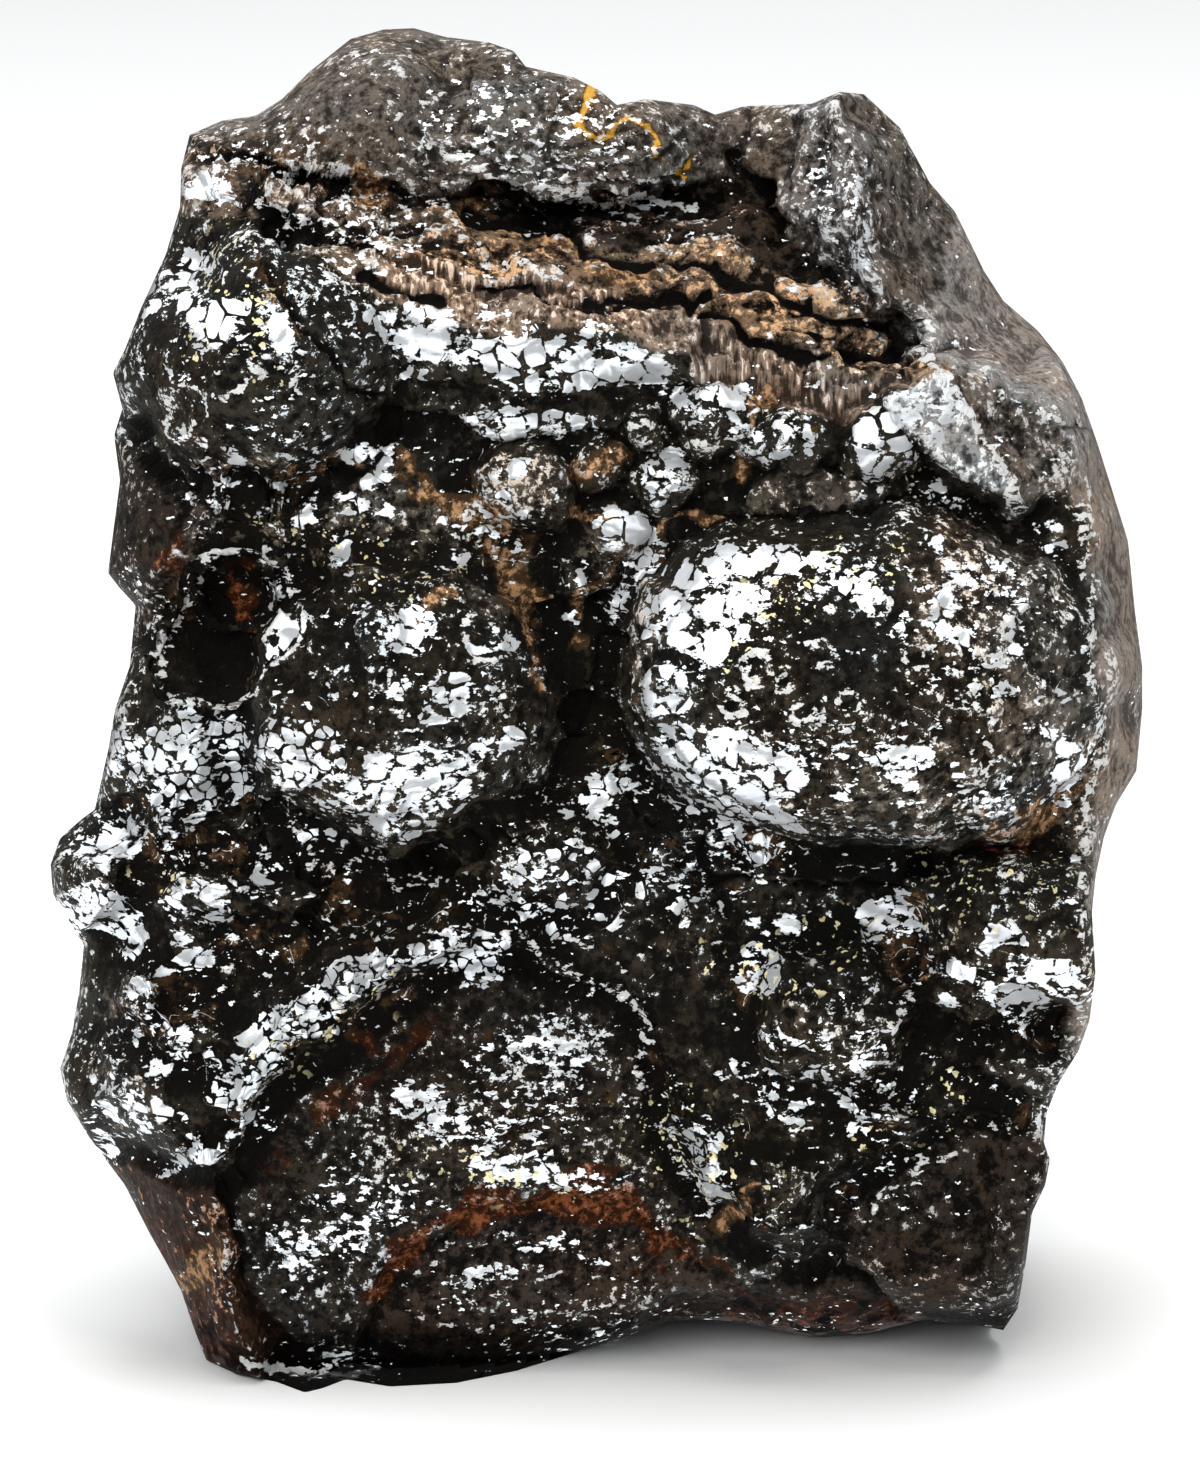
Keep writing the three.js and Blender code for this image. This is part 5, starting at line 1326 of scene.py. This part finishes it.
    lay(polish_and_highlight, shine, metal=POLISH_METAL, rough=POLISH_ROUGHNESS)

    # Crevices: shallow cracks, painted black as shade.
    crevice_shade = step(tree, off_middle(grain, 1.6, given("crevice")), 0.5, 0.75)
    lay(crevice_shade, rgba(settings.crevice_shade_colour), metal=0.0, rough=0.6)

    # Small warm glints, painted as colour.
    glint = step(tree, noise(tree, vector, 0.85, 2.0, 0.5), 0.635, 0.66)
    lay(calc(tree, "MULTIPLY", glint, given("glints")), rgba(settings.glint_colour), metal=0.2)

    # Painted highlight lines along raised edges and crests.
    crest = step(tree, off_middle(small, 1.3, given("crest")), 0.83, 0.87)
    highlit = step(tree, given("fine_edge"), 0.3, 0.42)
    highlit = calc(tree, "MULTIPLY", highlit, step(tree, small, 0.50, 0.54))
    lay(calc(tree, "MAXIMUM", highlit, crest), rgba(settings.edge_highlight_colour), metal=0.1)

    # Grain on the dull places, and an even surface on the polished ones.
    height = calc(tree, "MULTIPLY", grain, calc(tree, "MULTIPLY", given("grain"), GRAIN_HEIGHT))
    bump = add(tree, "ShaderNodeBump", {"Height": height, "Distance": MM}).outputs[0]
    even = add(tree, "ShaderNodeNewGeometry").outputs["Normal"]
    normal = blend(tree, calc(tree, "MULTIPLY", polish_and_highlight, POLISH_EVENNESS), bump, even, "VECTOR")
    surface["Normal"] = calc_vector(tree, "NORMALIZE", normal)
    surface["Specular IOR Level"] = SPECULAR_LEVEL
    shader = add(tree, "ShaderNodeBsdfPrincipled", surface)
    add(tree, "ShaderNodeOutputMaterial", {"Surface": shader.outputs[0]})
    return material


SHEET_EDGE = 0.012  # softness of the bright sheet's edge, in metres
SHEET_TINT = (0.93, 0.97, 1.0)


def floor_material(settings):
    """Pale floor; in the gloss of the rock it shows as a bright sheet of limited size."""
    material, tree = new_material("pale_floor")
    pale = add(tree, "ShaderNodeBsdfDiffuse", {"Color": rgba(settings.floor_colour)})
    position = add(tree, "ShaderNodeTexCoord").outputs["Object"]
    distance = add(tree, "ShaderNodeVectorMath", {0: position}, operation="LENGTH").outputs["Value"]
    edge = (settings.sheet_radius - SHEET_EDGE, settings.sheet_radius + SHEET_EDGE)
    near = calc(tree, "SUBTRACT", 1.0, step(tree, distance, *edge))
    strength = blend(tree, near, settings.dark_level, settings.sheet_level, "FLOAT")
    glow = add(tree, "ShaderNodeEmission", {"Color": rgba(SHEET_TINT), "Strength": strength})
    glossy = add(tree, "ShaderNodeLightPath").outputs["Is Glossy Ray"]
    surface = add(tree, "ShaderNodeMixShader", {0: glossy, 1: pale.outputs[0], 2: glow.outputs[0]})
    add(tree, "ShaderNodeOutputMaterial", {"Surface": surface.outputs[0]})
    return material


# ---- what a user may change ----------------------------------------------------------------------


def colour_property(name, description, default):
    """Colour setting."""
    return bpy.props.FloatVectorProperty(
        name=name, description=description, subtype="COLOR", size=3, min=0, max=1, default=default
    )


def level_property(name, description, default):
    """Brightness setting."""
    return bpy.props.FloatProperty(name=name, description=description, default=default, min=0)


class SpecimenSettings(bpy.types.PropertyGroup):
    """Colours of the specimen."""

    # Pale colour of the polished places, which paints their highlight.
    polish_highlight_colour: colour_property("Crust", "Polished places of the crust", (0.71, 0.735, 0.76))
    # Black painted into the crevices as shade.
    crevice_shade_colour: colour_property("Crevices", "Black of the crevices", (0.004, 0.0034, 0.003))
    # Pale colour of the polished flecks, which paints their glints.
    fleck_highlight_colour: colour_property("Flecks", "Small polished flecks", (0.80, 0.82, 0.83))
    speck_colour: colour_property("Specks", "Fine light specks on the crust", (0.8, 0.78, 0.74))
    ochre_colour: colour_property("Ochre", "Earthy filling of the valleys", (0.60, 0.34, 0.17))
    rust_colour: colour_property("Rust", "Orange-brown rust bands", (0.33, 0.105, 0.04))
    vein_colour: colour_property("Vein", "Yellow-orange vein near the top", (0.87, 0.45, 0.06))
    glint_colour: colour_property("Glints", "Small warm glints", (0.95, 0.85, 0.5))
    # Colour of the painted highlight lines along raised edges and crests.
    edge_highlight_colour: colour_property("Worn edges", "Light lines along worn edges", (0.74, 0.74, 0.73))


class StageSettings(bpy.types.PropertyGroup):
    """Floor, camera and lights."""

    floor_colour: colour_property("Floor", "Colour of the pale floor", (0.86, 0.86, 0.86))
    floor_size: bpy.props.FloatProperty(
        name="Floor size", description="Side of the square floor", unit="LENGTH", default=8.0, min=1.0
    )
    sheet_radius: bpy.props.FloatProperty(
        name="Bright sheet", description="Radius of the floor that the gloss mirrors as bright",
        unit="LENGTH", default=0.24, min=0.05,
    )
    sheet_level: level_property("Sheet brightness", "Brightness of that sheet in the gloss", 2.2)
    dark_level: level_property(
        "Surround brightness", "Brightness of the rest of the room in the gloss", 0.03
    )
    tent_left: level_property(
        "Tent, left", "Brightness of the white tent above and to the left, in the gloss", 2.4
    )
    tent_right: level_property(
        "Tent, right", "Brightness of the white tent above and to the right, in the gloss", 1.7
    )
    soft_level: level_property("Soft light", "Brightness of the even light from all round", 0.5)
    focal_length: bpy.props.FloatProperty(
        name="Focal length", description="Focal length of the camera",
        unit="CAMERA", default=SENSOR * EYE / VIEW_HEIGHT, min=20,
    )


# ---- operators -----------------------------------------------------------------------------------


class HEMATITE_OT_specimen(bpy.types.Operator):
    """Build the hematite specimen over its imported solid"""

    bl_idname = "hematite.specimen"
    bl_label = "Build specimen"

    def execute(self, context):
        points, faces, masks = shape_specimen()
        if len(split_quads(faces)) >= TRIANGLE_LIMIT:
            raise RuntimeError("the specimen has too many triangles")
        mesh = bpy.data.meshes.new("specimen")
        three = faces[:, 2] == faces[:, 3]
        polygons = [tuple(f[:3]) if t else tuple(f) for f, t in zip(faces.tolist(), three)]
        mesh.from_pydata(points * MM, [], polygons)
        mesh.validate()
        mesh.shade_smooth()
        for name, values in masks.items():
            kind, field = "FLOAT", "value"
            if values.size == 3 * len(points):
                kind, field = "FLOAT_COLOR", "color"
                values = np.column_stack([values, np.ones(len(points))])
            kept = mesh.attributes.new(name, kind, "POINT")
            kept.data.foreach_set(field, values.astype(np.float32).ravel())
        mesh.materials.append(hematite_material(context.scene.hematite_specimen))
        specimen = bpy.data.objects.new("specimen", mesh)
        context.scene.collection.objects.link(specimen)
        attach(specimen, BODY)
        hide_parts(NODE)
        return {"FINISHED"}


def aim(obj, at):
    """Turns an object so that its -Z axis points at a place."""
    obj.rotation_euler = (Vector(at) - obj.location).to_track_quat("-Z", "Y").to_euler()


# Square panel lights: name, place and side in metres, power in watts, colour, and whether the gloss
# mirrors them.
LIGHTS = (
    ("overhead_soft", (0.05, 0.1, 1.3), 1.2, 18, (1, 1, 1), False),
    ("front_soft", (-0.3, -1.0, 0.7), 0.8, 9, (1, 1, 1), False),
    ("warm_spot", (0.12, -0.55, 0.95), 0.05, 0.6, (1.0, 0.88, 0.55), True),
)
LIGHT_TARGET = (0, 0, 0.055)  # middle of the specimen, in metres
ROOM_TINT = (0.95, 0.98, 1)
TENT_START = (0.27, 0.19)  # how far up the white tent starts, on the right and on the left
TENT_SOFTNESS = 0.09  # over what share of the height its edge fades in


def panel_light(name, location, side, power, colour, glossy):
    """Soft panel light aimed at the specimen."""
    light = bpy.data.lights.new(name, "AREA")
    light.size = side
    light.energy = power
    light.color = colour
    obj = bpy.data.objects.new(name, light)
    bpy.context.scene.collection.objects.link(obj)
    obj.location = location
    obj.visible_glossy = glossy
    obj.visible_camera = False
    aim(obj, LIGHT_TARGET)


def studio_world(settings):
    """Even light from all round; the gloss mirrors a white tent over a dark room instead."""
    world = bpy.data.worlds.new("studio")
    world.use_nodes = True
    tree = world.node_tree
    tree.nodes.clear()
    path = add(tree, "ShaderNodeLightPath").outputs
    direction = add(tree, "ShaderNodeTexCoord").outputs["Generated"]
    axes = add(tree, "ShaderNodeSeparateXYZ", {0: direction}).outputs
    from_left = step(tree, calc(tree, "MULTIPLY", axes["X"], -1.0), -0.45, 0.25)
    low = blend(tree, from_left, *TENT_START, "FLOAT")
    tent = step(tree, calc(tree, "SUBTRACT", axes["Z"], low), 0.0, TENT_SOFTNESS)
    level = blend(tree, from_left, settings.tent_right, settings.tent_left, "FLOAT")
    gloss = calc(tree, "ADD", calc(tree, "MULTIPLY", tent, level), settings.dark_level)
    gloss = calc(tree, "MULTIPLY", path["Is Glossy Ray"], gloss)
    soft = calc(tree, "MULTIPLY", path["Is Diffuse Ray"], settings.soft_level)
    strength = calc(tree, "ADD", calc(tree, "ADD", path["Is Camera Ray"], soft), gloss)
    glow = add(tree, "ShaderNodeBackground", {"Color": rgba(ROOM_TINT), "Strength": strength})
    add(tree, "ShaderNodeOutputWorld", {"Surface": glow.outputs[0]})
    return world


class HEMATITE_OT_stage(bpy.types.Operator):
    """Set up the pale floor, the soft lights and the camera"""

    bl_idname = "hematite.stage"
    bl_label = "Build stage"

    def execute(self, context):
        settings = context.scene.hematite_stage
        half = settings.floor_size / 2
        mesh = bpy.data.meshes.new("floor")
        corners = [(-half, -half, 0), (half, -half, 0), (half, half, 0), (-half, half, 0)]
        mesh.from_pydata(corners, [], [(0, 1, 2, 3)])
        mesh.materials.append(floor_material(settings))
        floor = bpy.data.objects.new("floor", mesh)
        context.scene.collection.objects.link(floor)

        context.scene.world = studio_world(settings)
        for light in LIGHTS:
            panel_light(*light)

        camera = bpy.data.cameras.new("camera")
        camera.lens = settings.focal_length
        camera.sensor_width = SENSOR
        camera.clip_end = 50
        viewer = bpy.data.objects.new("camera", camera)
        context.scene.collection.objects.link(viewer)
        middle = (place(0.0, FACE_MIDDLE, 0.0) - ORIGIN) * MM
        viewer.location = middle + EYE * MM * np.array((0, -math.cos(LEAN), math.sin(LEAN)))
        aim(viewer, middle)
        context.scene.camera = viewer
        context.scene.view_settings.view_transform = "Standard"
        return {"FINISHED"}


class HEMATITE_PT_panel(bpy.types.Panel):
    """Lists the specimen, its stage and their settings"""

    bl_label = "Hematite specimen"
    bl_idname = "HEMATITE_PT_panel"
    bl_space_type = "VIEW_3D"
    bl_region_type = "UI"
    bl_category = "Hematite"

    def draw(self, context):
        layout = self.layout
        for operator, settings in (
            ("hematite.specimen", context.scene.hematite_specimen),
            ("hematite.stage", context.scene.hematite_stage),
        ):
            box = layout.box()
            box.operator(operator)
            for name in settings.__annotations__:
                box.prop(settings, name)


CLASSES = (SpecimenSettings, StageSettings, HEMATITE_OT_specimen, HEMATITE_OT_stage, HEMATITE_PT_panel)


def register():
    """Registers the classes and their settings."""
    for each in CLASSES:
        bpy.utils.register_class(each)
    bpy.types.Scene.hematite_specimen = bpy.props.PointerProperty(type=SpecimenSettings)
    bpy.types.Scene.hematite_stage = bpy.props.PointerProperty(type=StageSettings)


def unregister():
    """Takes the settings and the classes away again."""
    del bpy.types.Scene.hematite_stage
    del bpy.types.Scene.hematite_specimen
    for each in reversed(CLASSES):
        bpy.utils.unregister_class(each)


def main():
    """Builds everything."""
    register()
    bpy.ops.hematite.specimen()
    bpy.ops.hematite.stage()


if __name__ == "__main__":
    main()
